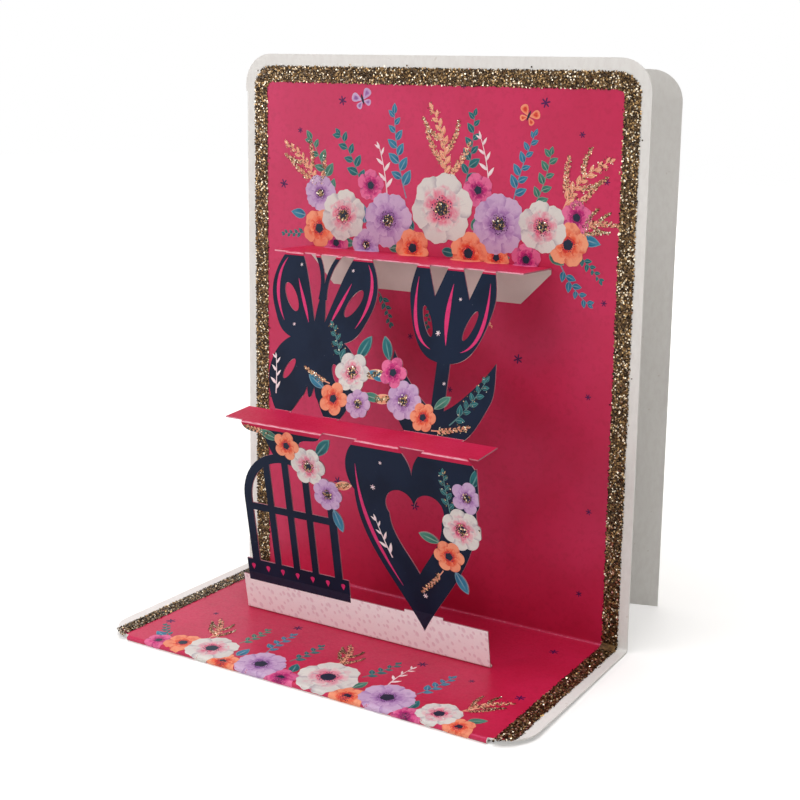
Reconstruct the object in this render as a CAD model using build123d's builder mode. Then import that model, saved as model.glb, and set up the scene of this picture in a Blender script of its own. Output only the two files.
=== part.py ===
from build123d import *
from math import atan, cos, degrees, hypot, radians, sin, sqrt, tan
import os

# Pop-up greeting card that stands open: a folded cover of white board, and a printed,
# die-cut insert that makes two steps between the upright and the base.
# +X runs along the card to the right, -Y points at the reader, +Z is up.
# The origin is the centre of the footprint, on the surface that the card stands on.

# Cover, one folded sheet
WIDTH = 130.0
HEIGHT = 160.0
DEPTH = 64.0
REAR_HEIGHT = 158.0
BOARD = 0.45
CORNER_RADIUS = 9.0
OPENING_DEG = 15.3
SPINE_BEND = 0.8
SPINE_FOOT = 9.0
BASE_BEND = 1.1
LIP_HEIGHT = 1.5
FLAP_LENGTH = 30.0

# Insert, one folded and die-cut sheet glued to the cover by a tab at each end
INSERT_WIDTH = 80.0
INSERT_SHIFT = -1.6
CARD = 0.35
INSERT_BEND = 0.6
GLUE_LINE = 0.02
TAB_HEIGHT = 10.5
TAB_LENGTH = 10.0
TAB_TAPER = 9.0
UPPER_FOLD_HEIGHT = 104.0
BASE_FOLD_REACH = 29.4
UPPER_SHELF = 17.5
UPPER_TIER = 44.7
LOWER_SHELF = 12.2
UPPER_SHELF_RISE_DEG = 1.0
UPPER_TIER_LEAN_DEG = 13.0

# Strip along the foot of the lower tier
STRIP_HEIGHT = 11.0
STRIP_STEP = 0.8
STRIP_STEP_WIDTH = 12.0

# Figures cut in the tiers, on the centre lines of the two halves of the insert
FIGURE_OFFSET = 1.0
FIGURE_SPACING = INSERT_WIDTH / 2 + FIGURE_OFFSET
FIGURE_OVERRUN = 1.4

WING_SPAN = 35.0
WING_SLIT_LENGTH = 9.0
WING_SLIT_WIDTH = 3.4
FEELER_WIDTH = 1.3

TULIP_CUP_WIDTH = 25.0
TULIP_CUP_HEIGHT = 25.5
TULIP_STEM_WIDTH = 4.0
TULIP_LEAF_REACH = 15.5
TULIP_LEAF_HEIGHT = 21.0

CAGE_WIDTH = 31.0
CANOPY_WIDTH = 27.0
CANOPY_HEIGHT = 8.1
CAGE_FRAME = 2.6
CAGE_BAR = 2.2
CAGE_BARS = 3
CAGE_TRAY_HEIGHT = 5.5
CAGE_TRAY_OVERHANG = 2.0

HEART_WIDTH = 37.0
HEART_TIP = 6.5
HEART_CLEFT = 0.80
HEART_HOLE_SHARE = 0.43
HEART_HOLE_FOOT = 0.31

LEAF_PLUMPNESS = 0.42
PRIMROSE_PETALS = 5
ANEMONE_PETALS = 6
DAISY_PETALS = 7

# Points and angles of the cover's side view
SPINE_OUTER = SPINE_BEND + BOARD / 2
REAR_LENGTH = WIDTH - SPINE_OUTER
OPENING = radians(OPENING_DEG)
REAR_REACH = SPINE_OUTER * (1 + cos(OPENING)) + REAR_LENGTH * sin(OPENING)
FACE_Y = (DEPTH - REAR_REACH) / 2
FRONT_Y = FACE_Y - DEPTH
UPRIGHT_Y = FACE_Y + BOARD / 2
LIP_BEND = (LIP_HEIGHT - BOARD) / 2
LIP_Y = FRONT_Y + LIP_HEIGHT / 2
BASE_RISE = atan((LIP_HEIGHT - BOARD) / (UPRIGHT_Y - LIP_Y))
LIP_TOP = (LIP_Y + LIP_BEND * sin(BASE_RISE), LIP_HEIGHT / 2 + LIP_BEND * cos(BASE_RISE))


def base_middle(y):
    """Height of the middle of the base's board at y."""
    return LIP_TOP[1] - (y - LIP_TOP[0]) * tan(BASE_RISE)


def elbow(start, end, first, second):
    """Outer corner of two panels, first and second long, that join start to end."""
    dy, dz = end[0] - start[0], end[1] - start[1]
    span = hypot(dy, dz)
    along = (span**2 + first**2 - second**2) / (2 * span)
    out = sqrt(first**2 - along**2)
    return (start[0] + (along * dy - out * dz) / span, start[1] + (along * dz + out * dy) / span)


# Fold points of the insert's side view, all on the middle of its card
TAB_Y = FACE_Y - GLUE_LINE - CARD / 2
SEAT = (BOARD / 2 + GLUE_LINE + CARD / 2) / cos(BASE_RISE)
FOOT_Y = FACE_Y - BASE_FOLD_REACH
SHELF_RISE = radians(UPPER_SHELF_RISE_DEG)
TIER_LEAN = radians(UPPER_TIER_LEAN_DEG)
# The card shuts flat because shelves less tiers equal the foot's reach less the top's height.
LOWER_TIER = UPPER_SHELF + LOWER_SHELF - UPPER_TIER - BASE_FOLD_REACH + UPPER_FOLD_HEIGHT

TAB_END = (TAB_Y, UPPER_FOLD_HEIGHT - TAB_HEIGHT)
SHELF_REAR = (TAB_Y, UPPER_FOLD_HEIGHT)
SHELF_FRONT = (
    SHELF_REAR[0] - UPPER_SHELF * cos(SHELF_RISE),
    SHELF_REAR[1] + UPPER_SHELF * sin(SHELF_RISE),
)
STEP_REAR = (
    SHELF_FRONT[0] - UPPER_TIER * sin(TIER_LEAN),
    SHELF_FRONT[1] - UPPER_TIER * cos(TIER_LEAN),
)
FOOT = (FOOT_Y, base_middle(FOOT_Y) + SEAT)
STEP_FRONT = elbow(FOOT, STEP_REAR, LOWER_TIER, LOWER_SHELF)
FOOT_END = (FOOT[0] + TAB_LENGTH * cos(BASE_RISE), FOOT[1] - TAB_LENGTH * sin(BASE_RISE))


def tier_plane(foot, top):
    """Plane of a tier, with X along the card and Y up the tier from its lower fold."""
    dy, dz = top[0] - foot[0], top[1] - foot[1]
    return Plane(origin=(INSERT_SHIFT, foot[0], foot[1]), x_dir=(1, 0, 0), z_dir=(0, -dz, dy))


UPPER_PLANE = tier_plane(STEP_REAR, SHELF_FRONT)
LOWER_PLANE = tier_plane(FOOT, STEP_FRONT)
CUT_REACH = INSERT_BEND + CARD


def blossom(radius, petals):
    """Silhouette of a round flower with lobed petals."""
    with BuildSketch(mode=Mode.PRIVATE) as shape:
        Circle(radius * 0.66)
        with PolarLocations(radius * 0.58, petals):
            Circle(radius * 0.42)
    return shape.sketch


def leaf(length):
    """Silhouette of a pointed leaf that grows from its stalk at the origin along +X."""
    bulge = length * LEAF_PLUMPNESS / 2
    with BuildSketch(mode=Mode.PRIVATE) as shape:
        with BuildLine():
            ThreePointArc((0, 0), (length / 2, bulge), (length, 0))
            ThreePointArc((length, 0), (length / 2, -bulge), (0, 0))
        make_face()
    return shape.sketch


# Flowers as (x, y, radius, petals) and leaves as (x, y, length, direction in degrees).
# They are measured from the foot of their figure, and those of the cage from its top.
BUTTERFLY_POSY = (
    [
        (13.0, 13.5, 5.6, ANEMONE_PETALS),
        (8.0, 5.6, 4.7, PRIMROSE_PETALS),
        (16.2, 5.2, 4.0, DAISY_PETALS),
    ],
    [(14.0, 17.0, 8.0, 62), (17.0, 13.0, 6.5, 15), (4.5, 8.0, 6.5, 150), (17.5, 8.0, 6.0, -8)],
)
TULIP_POSY = (
    [
        (-10.5, 8.0, 5.4, DAISY_PETALS),
        (-15.0, 15.0, 4.3, PRIMROSE_PETALS),
        (-4.0, 4.4, 4.0, ANEMONE_PETALS),
    ],
    [(-14.0, 8.0, 6.5, 188), (-16.5, 18.0, 7.0, 112), (-1.0, 7.0, 6.0, 40), (-17.0, 12.5, 6.0, 160)],
)
CAGE_POSY = (
    [
        (8.0, -10.1, 5.6, ANEMONE_PETALS),
        (13.5, -17.6, 4.7, DAISY_PETALS),
        (1.5, -5.1, 4.2, PRIMROSE_PETALS),
    ],
    [(11.0, -6.6, 7.5, 48), (15.0, -21.6, 7.0, -70), (16.0, -14.6, 6.0, 12), (-1.0, -3.6, 6.5, 165)],
)
HEART_POSY = (
    [
        (14.0, 33.0, 6.0, DAISY_PETALS),
        (16.0, 42.5, 4.6, PRIMROSE_PETALS),
        (9.5, 24.5, 4.6, ANEMONE_PETALS),
    ],
    [(18.0, 34.0, 6.5, -15), (17.5, 45.5, 7.0, 62), (11.0, 20.5, 7.0, -60), (7.0, 28.0, 6.5, 165)],
)


def add_posy(posy):
    """Add the silhouettes of a posy to the sketch in work."""
    flowers, leaves = posy
    for x, y, radius, petals in flowers:
        with Locations((x, y)):
            add(blossom(radius, petals))
    for x, y, length, direction in leaves:
        with Locations(Location((x, y, 0), (0, 0, direction))):
            add(leaf(length))


# Each figure stands on the Y axis, with its foot at the lower edge of its window.
# What must stay joined to a fold runs past it by FIGURE_OVERRUN.
UPPER_TOP = UPPER_TIER + FIGURE_OVERRUN
LOWER_TOP = LOWER_TIER + FIGURE_OVERRUN

with BuildSketch() as butterfly:
    half_span = WING_SPAN / 2
    waist = UPPER_TIER * 0.47
    with BuildLine():
        upper_wing = Spline(
            (0, waist),
            (half_span * 0.30, UPPER_TIER * 0.82),
            (half_span * 0.66, UPPER_TOP + 0.6),
            (half_span, UPPER_TIER * 0.83),
            (half_span * 0.86, UPPER_TIER * 0.60),
            (half_span * 0.52, waist),
            tangents=((0.35, 1), (-1, -0.30)),
        )
        lower_wing = Spline(
            upper_wing @ 1,
            (half_span * 0.80, UPPER_TIER * 0.34),
            (half_span * 0.74, UPPER_TIER * 0.08),
            (half_span * 0.44, -FIGURE_OVERRUN),
            (half_span * 0.16, UPPER_TIER * 0.10),
            (0, UPPER_TIER * 0.26),
            tangents=((1, -0.55), (-0.3, 1)),
        )
        Line(lower_wing @ 1, upper_wing @ 0)
    make_face()
    with Locations(Location((half_span * 0.60, UPPER_TIER * 0.72, 0), (0, 0, 58))):
        Ellipse(WING_SLIT_LENGTH / 2, WING_SLIT_WIDTH / 2, mode=Mode.SUBTRACT)
    with Locations(Location((half_span * 0.46, UPPER_TIER * 0.27, 0), (0, 0, -62))):
        Ellipse(WING_SLIT_LENGTH * 0.36, WING_SLIT_WIDTH * 0.36, mode=Mode.SUBTRACT)
    mirror(about=Plane.YZ)
    with Locations((0, UPPER_TIER * 0.44)):
        Ellipse(1.9, UPPER_TIER * 0.33)
    with BuildLine():
        Spline(
            (0.8, UPPER_TIER * 0.72),
            (1.4, UPPER_TIER * 0.90),
            (half_span * 0.28, UPPER_TOP),
        )
        mirror(about=Plane.YZ)
    trace(line_width=FEELER_WIDTH)
    add_posy(BUTTERFLY_POSY)

with BuildSketch() as tulip:
    half_cup = TULIP_CUP_WIDTH / 2
    cup_foot = UPPER_TIER - TULIP_CUP_HEIGHT
    with BuildLine():
        side = Spline(
            (0, cup_foot),
            (half_cup * 0.72, cup_foot + TULIP_CUP_HEIGHT * 0.20),
            (half_cup, cup_foot + TULIP_CUP_HEIGHT * 0.58),
            (half_cup * 0.92, UPPER_TOP),
            tangents=((1, 0), (-0.25, 1)),
        )
        Line(side @ 1, (half_cup * 0.70, UPPER_TOP))
        Line((half_cup * 0.70, UPPER_TOP), (half_cup * 0.42, UPPER_TIER * 0.82))
        Line((half_cup * 0.42, UPPER_TIER * 0.82), (half_cup * 0.14, UPPER_TOP))
        Line((half_cup * 0.14, UPPER_TOP), (0, UPPER_TOP))
        Line((0, UPPER_TOP), side @ 0)
    make_face()
    with Locations(Location((half_cup * 0.52, cup_foot + TULIP_CUP_HEIGHT * 0.42, 0), (0, 0, 68))):
        Ellipse(TULIP_CUP_HEIGHT * 0.17, WING_SLIT_WIDTH * 0.34, mode=Mode.SUBTRACT)
    with BuildLine():
        outer = Spline(
            (0, -FIGURE_OVERRUN),
            (TULIP_LEAF_REACH * 0.58, 0),
            (TULIP_LEAF_REACH * 0.94, TULIP_LEAF_HEIGHT * 0.42),
            (TULIP_LEAF_REACH, TULIP_LEAF_HEIGHT),
            tangents=((1, 0), (-0.1, 1)),
        )
        Spline(
            outer @ 1,
            (TULIP_LEAF_REACH * 0.52, TULIP_LEAF_HEIGHT * 0.56),
            (0, TULIP_LEAF_HEIGHT * 0.28),
            tangents=((-0.6, -1), (-1, -0.4)),
        )
        Line((0, TULIP_LEAF_HEIGHT * 0.28), (0, -FIGURE_OVERRUN))
    make_face()
    mirror(about=Plane.YZ)
    with Locations((0, cup_foot / 2)):
        Rectangle(TULIP_STEM_WIDTH, cup_foot + 2 * FIGURE_OVERRUN)
    add_posy(TULIP_POSY)

with BuildSketch() as birdcage:
    half_cage = CAGE_WIDTH / 2
    half_canopy = CANOPY_WIDTH / 2
    cage_top = LOWER_TIER - STRIP_HEIGHT
    dome_top = cage_top - CANOPY_HEIGHT
    shoulder = dome_top - half_cage
    with Locations((0, shoulder / 2)):
        Rectangle(CAGE_WIDTH, shoulder)
    with Locations((0, shoulder)):
        Circle(half_cage)
    inner = half_cage - CAGE_FRAME
    with Locations((0, (CAGE_TRAY_HEIGHT + shoulder) / 2)):
        Rectangle(2 * inner, shoulder - CAGE_TRAY_HEIGHT, mode=Mode.SUBTRACT)
    with Locations((0, shoulder)):
        Circle(inner, mode=Mode.SUBTRACT)
    bar_pitch = 2 * inner / (CAGE_BARS + 1)
    for number in range(CAGE_BARS):
        bar_x = (number - (CAGE_BARS - 1) / 2) * bar_pitch
        bar_top = shoulder + sqrt(inner**2 - bar_x**2) + CAGE_FRAME / 2
        with Locations((bar_x, bar_top / 2)):
            Rectangle(CAGE_BAR, bar_top)
    with Locations((0, shoulder - CAGE_BAR)):
        Rectangle(2 * inner + CAGE_FRAME, CAGE_BAR)
    with Locations((0, CAGE_TRAY_HEIGHT / 2 - FIGURE_OVERRUN / 2)):
        Rectangle(CAGE_WIDTH + 2 * CAGE_TRAY_OVERHANG, CAGE_TRAY_HEIGHT + FIGURE_OVERRUN)
    with BuildLine():
        canopy = Spline(
            (0, dome_top - CAGE_FRAME),
            (half_canopy * 0.30, dome_top + CANOPY_HEIGHT * 0.07),
            (half_canopy * 0.48, dome_top + CANOPY_HEIGHT * 0.60),
            (half_canopy * 0.85, dome_top + CANOPY_HEIGHT * 0.73),
            (half_canopy, cage_top + FIGURE_OVERRUN),
        )
        Line(canopy @ 1, (0, cage_top + FIGURE_OVERRUN))
        Line((0, cage_top + FIGURE_OVERRUN), canopy @ 0)
    make_face()
    mirror(about=Plane.YZ)
    with Locations((0, cage_top)):
        add_posy(CAGE_POSY)


def heart_shape(width, height):
    """Outline of a heart with its tip at the origin."""
    with BuildSketch(mode=Mode.PRIVATE) as shape:
        with BuildLine():
            flank = Bezier(
                (0, 0),
                (width * 0.17, height * 0.22),
                (width * 0.5, height * 0.42),
                (width * 0.5, height * 0.70),
            )
            ThreePointArc(flank @ 1, (width * 0.27, height), (0, height * HEART_CLEFT))
            Line((0, height * HEART_CLEFT), (0, 0))
        make_face()
        mirror(about=Plane.YZ)
    return shape.sketch


HEART_HEIGHT = LOWER_TOP - HEART_TIP + 0.9

with BuildSketch() as heart:
    add(heart_shape(HEART_WIDTH, HEART_HEIGHT))
    with Locations((0, HEART_HEIGHT * HEART_HOLE_FOOT)):
        hole = heart_shape(HEART_WIDTH * HEART_HOLE_SHARE, HEART_HEIGHT * HEART_HOLE_SHARE)
        add(hole, mode=Mode.SUBTRACT)
    add_posy(HEART_POSY)

# Cover: upright, base, rounded front edge, turned-under flap, spine and rear panel
with BuildPart() as cover:
    with BuildSketch(Plane.YZ.offset(-WIDTH / 2)):
        with BuildLine():
            FilletPolyline(
                (UPRIGHT_Y, HEIGHT),
                (UPRIGHT_Y, base_middle(UPRIGHT_Y)),
                LIP_TOP,
                radius=BASE_BEND,
            )
        trace(line_width=BOARD)
    extrude(amount=WIDTH)
    top_corners = cover.edges().filter_by(Axis.Y).group_by(Axis.Z)[-1]
    front_corners = cover.edges().filter_by(lambda edge: edge.length < 2 * BOARD).group_by(Axis.Y)[0]
    fillet(top_corners, CORNER_RADIUS)
    fillet(front_corners, CORNER_RADIUS)

    with BuildSketch(Plane.YZ.offset(CORNER_RADIUS - WIDTH / 2)):
        with BuildLine():
            CenterArc(
                (LIP_Y, LIP_HEIGHT / 2),
                LIP_BEND,
                90 - degrees(BASE_RISE),
                180 + degrees(BASE_RISE),
            )
            Line((LIP_Y, BOARD / 2), (LIP_Y + FLAP_LENGTH, BOARD / 2))
        trace(line_width=BOARD)
    extrude(amount=WIDTH - 2 * CORNER_RADIUS)

    bend_x = SPINE_OUTER - WIDTH / 2
    bend_y = UPRIGHT_Y + SPINE_BEND
    spine_length = REAR_HEIGHT - CORNER_RADIUS - SPINE_FOOT
    with BuildSketch(Plane.XY.offset(SPINE_FOOT)):
        with Locations((bend_x, UPRIGHT_Y)):
            Rectangle(WIDTH, 2 * BOARD, align=(Align.MAX, Align.CENTER))
    extrude(amount=spine_length, mode=Mode.SUBTRACT)
    with BuildSketch(Plane.XY.offset(SPINE_FOOT)):
        with BuildLine():
            CenterArc((bend_x, bend_y), SPINE_BEND, 90 + OPENING_DEG, 180 - OPENING_DEG)
        trace(line_width=BOARD)
    extrude(amount=spine_length)

    rear_start = (bend_x - SPINE_BEND * sin(OPENING), bend_y + SPINE_BEND * cos(OPENING), 0)
    rear_plane = Plane(
        origin=rear_start,
        x_dir=(cos(OPENING), sin(OPENING), 0),
        z_dir=(sin(OPENING), -cos(OPENING), 0),
    )
    with BuildSketch(rear_plane):
        Rectangle(REAR_LENGTH, REAR_HEIGHT, align=(Align.MIN, Align.MIN))
        far_foot = vertices().group_by(Axis.Y)[0].sort_by(Axis.X)[-1:]
        fillet(vertices() - far_foot, CORNER_RADIUS)
    extrude(amount=BOARD / 2, both=True)

cover.part.label = "cover"

# Insert: glue tab, upper shelf, upper tier, lower shelf, lower tier, foot tab
with BuildPart() as pop_up:
    with BuildSketch(Plane.YZ.offset(INSERT_SHIFT - INSERT_WIDTH / 2)):
        with BuildLine():
            FilletPolyline(
                TAB_END,
                SHELF_REAR,
                SHELF_FRONT,
                STEP_REAR,
                STEP_FRONT,
                FOOT,
                FOOT_END,
                radius=INSERT_BEND,
            )
        trace(line_width=CARD)
    extrude(amount=INSERT_WIDTH)
    # Both glue tabs narrow towards their free edge.
    tab_corners = pop_up.edges().filter_by(Axis.Y).filter_by_position(Axis.Z, TAB_END[1] - 1, TAB_END[1] + 1)
    short_edges = pop_up.edges().filter_by(lambda edge: edge.length < 2 * CARD)
    foot_corners = short_edges.filter_by_position(Axis.Y, FOOT_END[0] - CARD, FOOT_END[0] + CARD)
    chamfer(tab_corners + foot_corners, TAB_TAPER)

    with BuildSketch(UPPER_PLANE):
        with Locations((0, UPPER_TIER / 2)):
            Rectangle(INSERT_WIDTH + 2, UPPER_TIER + 2 * CUT_REACH)
        with Locations((-FIGURE_SPACING / 2, 0)):
            add(butterfly.sketch, mode=Mode.SUBTRACT)
        with Locations((FIGURE_SPACING / 2, 0)):
            add(tulip.sketch, mode=Mode.SUBTRACT)
    extrude(amount=CUT_REACH, both=True, mode=Mode.SUBTRACT)

    with BuildSketch(LOWER_PLANE):
        with Locations((0, STRIP_HEIGHT)):
            Rectangle(
                INSERT_WIDTH + 2,
                LOWER_TIER + CUT_REACH - STRIP_HEIGHT,
                align=(Align.CENTER, Align.MIN),
            )
        with Locations((FIGURE_SPACING / 2, STRIP_HEIGHT)):
            Rectangle(STRIP_STEP_WIDTH, 2 * STRIP_STEP, mode=Mode.SUBTRACT)
        with Locations((-FIGURE_SPACING / 2, STRIP_HEIGHT)):
            add(birdcage.sketch, mode=Mode.SUBTRACT)
        with Locations((FIGURE_SPACING / 2, HEART_TIP)):
            add(heart.sketch, mode=Mode.SUBTRACT)
    extrude(amount=CUT_REACH, both=True, mode=Mode.SUBTRACT)

pop_up.part.label = "pop_up"

os.makedirs("parts", exist_ok=True)
export_step(cover.part, "parts/cover.step")
export_step(pop_up.part, "parts/pop_up.step")
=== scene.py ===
"""Print, glitter and studio for a standing pop-up greeting card.

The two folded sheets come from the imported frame. This script adds the print and the glitter
that lie on them, gives every surface its finish, and sets up the studio and the camera.
Lengths are millimetres until a mesh or a studio object is made.
"""

import logging
import math
from dataclasses import dataclass, field, fields, replace
from enum import Enum
from functools import partial, reduce

import bpy
import numpy as np
from mathutils import Matrix, Vector

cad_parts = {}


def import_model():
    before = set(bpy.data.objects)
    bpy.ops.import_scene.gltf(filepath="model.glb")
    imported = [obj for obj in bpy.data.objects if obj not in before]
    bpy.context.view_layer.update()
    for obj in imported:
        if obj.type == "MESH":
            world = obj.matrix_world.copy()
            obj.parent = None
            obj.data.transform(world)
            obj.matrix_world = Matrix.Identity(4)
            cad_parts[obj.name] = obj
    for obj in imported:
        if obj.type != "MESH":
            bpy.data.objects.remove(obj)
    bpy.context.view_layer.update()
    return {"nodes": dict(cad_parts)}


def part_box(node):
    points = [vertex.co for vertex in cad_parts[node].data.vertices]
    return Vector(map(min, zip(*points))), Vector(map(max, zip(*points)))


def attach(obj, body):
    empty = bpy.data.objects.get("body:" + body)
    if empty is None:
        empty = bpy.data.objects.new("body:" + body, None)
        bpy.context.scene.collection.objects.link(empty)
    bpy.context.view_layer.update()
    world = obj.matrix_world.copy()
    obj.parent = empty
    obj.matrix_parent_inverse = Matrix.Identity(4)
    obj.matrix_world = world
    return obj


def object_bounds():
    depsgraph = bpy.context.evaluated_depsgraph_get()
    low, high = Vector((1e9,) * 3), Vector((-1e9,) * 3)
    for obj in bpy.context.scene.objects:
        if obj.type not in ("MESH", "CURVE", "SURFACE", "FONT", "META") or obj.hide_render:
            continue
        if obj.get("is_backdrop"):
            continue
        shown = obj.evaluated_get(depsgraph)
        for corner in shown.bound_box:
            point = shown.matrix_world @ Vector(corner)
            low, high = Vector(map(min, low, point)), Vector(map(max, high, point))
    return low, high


LOG = logging.getLogger("greeting_card")
MM = 0.001
TAU = 2 * math.pi
COVER_NODE = "cover"
INSERT_NODE = "pop_up"
COVER_SLOT = "cover_board"
INSERT_SLOT = "insert_card"
BODY = "root"

Array = np.ndarray
Socket = bpy.types.NodeSocket
Value = Socket | float | tuple


# Colours and shader wiring


@dataclass(frozen=True)
class Tone:
    """A colour as a screen shows it, from 0 to 255 a channel."""

    red: float
    green: float
    blue: float

    def linear(self) -> tuple[float, ...]:
        """Scene-linear colour for a shader socket, by the inverse of the sRGB curve.

        Returns:
            Red, green and blue from 0 to 1, with full alpha.
        """
        share = np.array([self.red, self.green, self.blue]) / 255
        low = share / 12.92
        high = ((share + 0.055) / 1.055) ** 2.4
        return (*np.where(share <= 0.04045, low, high).tolist(), 1.0)


class Wiring:
    """The nodes of a new material or world, and a short way to add and join them."""

    def __init__(self, owner: bpy.types.ID) -> None:
        """Start with an empty node tree.

        Args:
            owner: the material or world.
        """
        owner.use_nodes = True
        self.owner = owner
        self.tree = owner.node_tree
        self.tree.nodes.clear()

    @staticmethod
    def ink(name: str) -> "Wiring":
        """The wiring of a new material."""
        return Wiring(bpy.data.materials.new(name))

    def add(self, kind: str, inputs: dict | None = None, **settings: str) -> bpy.types.Node:
        """Add one node.

        Args:
            kind: Blender's name for the node type.
            inputs: input name or number, with a value or a socket to link.
            settings: properties of the node.

        Returns:
            The new node.
        """
        node = self.tree.nodes.new(kind)
        for key, value in settings.items():
            setattr(node, key, value)
        for key, value in (inputs or {}).items():
            if isinstance(value, Socket):
                self.tree.links.new(value, node.inputs[key])
            else:
                node.inputs[key].default_value = value
        return node

    def place(self) -> Socket:
        """Object coordinates in metres."""
        return self.add("ShaderNodeTexCoord").outputs["Object"]

    def attribute(self, name: str) -> Socket:
        """A vector that the mesh stores at each point."""
        return self.add("ShaderNodeAttribute", attribute_name=name).outputs["Vector"]

    def seen(self) -> Socket:
        """1 for rays that show the background: to the camera, in a reflection or through glass."""
        path = self.add("ShaderNodeLightPath").outputs
        return self.most(path["Is Camera Ray"], path["Is Glossy Ray"], path["Is Transmission Ray"])

    def split(self, vector: Socket) -> list[Socket]:
        """The three numbers of a vector."""
        return list(self.add("ShaderNodeSeparateXYZ", {0: vector}).outputs)

    def join(self, x: Value, y: Value, z: Value = 0.0) -> Socket:
        """A vector from three numbers or sockets."""
        return self.add("ShaderNodeCombineXYZ", {0: x, 1: y, 2: z}).outputs[0]

    def math(self, operation: str, first: Value, second: Value = 0.0, third: Value = 0.0) -> Socket:
        """Result of one Math node."""
        inputs = {0: first, 1: second, 2: third}
        return self.add("ShaderNodeMath", inputs, operation=operation).outputs[0]

    def times(self, *values: Value) -> Socket:
        """Product of sockets and numbers."""
        return reduce(partial(self.math, "MULTIPLY"), values)

    def most(self, *values: Value) -> Socket:
        """Largest of sockets and numbers."""
        return reduce(partial(self.math, "MAXIMUM"), values)

    def over(self, value: Value, least: float) -> Socket:
        """1 where the value is more than the least, 0 elsewhere."""
        return self.math("GREATER_THAN", value, least)

    def under(self, value: Value, most: float) -> Socket:
        """1 where the value is less than the most, 0 elsewhere."""
        return self.math("LESS_THAN", value, most)

    def vector(self, operation: str, first: Value, second: Value = (0.0, 0.0, 0.0)) -> Socket:
        """Result of one Vector Math node, a number for LENGTH and DISTANCE."""
        node = self.add("ShaderNodeVectorMath", {0: first, 1: second}, operation=operation)
        return node.outputs["Value" if operation in ("LENGTH", "DISTANCE") else "Vector"]

    def stretch(self, vector: Socket, x: float, y: float, z: float) -> Socket:
        """The vector with each of its numbers scaled."""
        return self.vector("MULTIPLY", vector, (x, y, z))

    def spread(
        self, value: Value, start: float, end: float, low: float = 0.3, high: float = 0.7,
        kind: str = "LINEAR",
    ) -> Socket:
        """Run from start to end as the value goes from low to high, by default a noise's range."""
        inputs = {0: value, 1: low, 2: high, 3: start, 4: end}
        return self.add("ShaderNodeMapRange", inputs, interpolation_type=kind).outputs[0]

    def step(self, value: Value, low: float, high: float) -> Socket:
        """Smooth rise from 0 at low to 1 at high, or a fall where high is the lower one."""
        (low, start), (high, end) = sorted([(low, 0.0), (high, 1.0)])
        return self.spread(value, start, end, low, high, "SMOOTHSTEP")

    def noise(self, vector: Value, scale: float, detail: float = 2.0, rough: float = 0.5) -> Socket:
        """Noise from about 0.3 to 0.7 at a scale in cycles a unit of the vector."""
        inputs = {"Vector": vector, "Scale": scale, "Detail": detail, "Roughness": rough}
        return self.add("ShaderNodeTexNoise", inputs).outputs["Fac"]

    def mix(self, share: Value, first: Tone | Socket, second: Tone | Socket) -> Socket:
        """Blend of two colours, each a Tone or a socket."""
        a, b = (c.linear() if isinstance(c, Tone) else c for c in (first, second))
        return self.add("ShaderNodeMix", {0: share, 6: a, 7: b}, data_type="RGBA").outputs[2]

    def ramp(self, value: Value, stops: list[tuple[float, Tone]]) -> Socket:
        """Colour that runs through the stops.

        Args:
            value: the number that is read.
            stops: positions from 0 to 1, each with its colour.

        Returns:
            The colour.
        """
        node = self.add("ShaderNodeValToRGB", {0: value})
        elements = node.color_ramp.elements
        while len(elements) < len(stops):
            elements.new(0.5)
        for element, (position, tone) in zip(elements, stops):
            element.position = position
            element.color = tone.linear()
        return node.outputs[0]

    def bump(self, height: Value, strength: float, distance: float) -> Socket:
        """Normal that a height field disturbs, with the height's full range in millimetres."""
        inputs = {"Height": height, "Strength": strength, "Distance": distance * MM}
        return self.add("ShaderNodeBump", inputs).outputs["Normal"]

    def close(self, **sockets: Value) -> bpy.types.Material:
        """Add the surface shader and the output.

        Args:
            sockets: inputs of the shader, with underscores for spaces.

        Returns:
            The finished material.
        """
        inputs = {key.replace("_", " "): value for key, value in sockets.items()}
        shader = self.add("ShaderNodeBsdfPrincipled", inputs)
        self.add("ShaderNodeOutputMaterial", {"Surface": shader.outputs[0]})
        return self.owner


# Closed meshes as whole arrays


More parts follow.
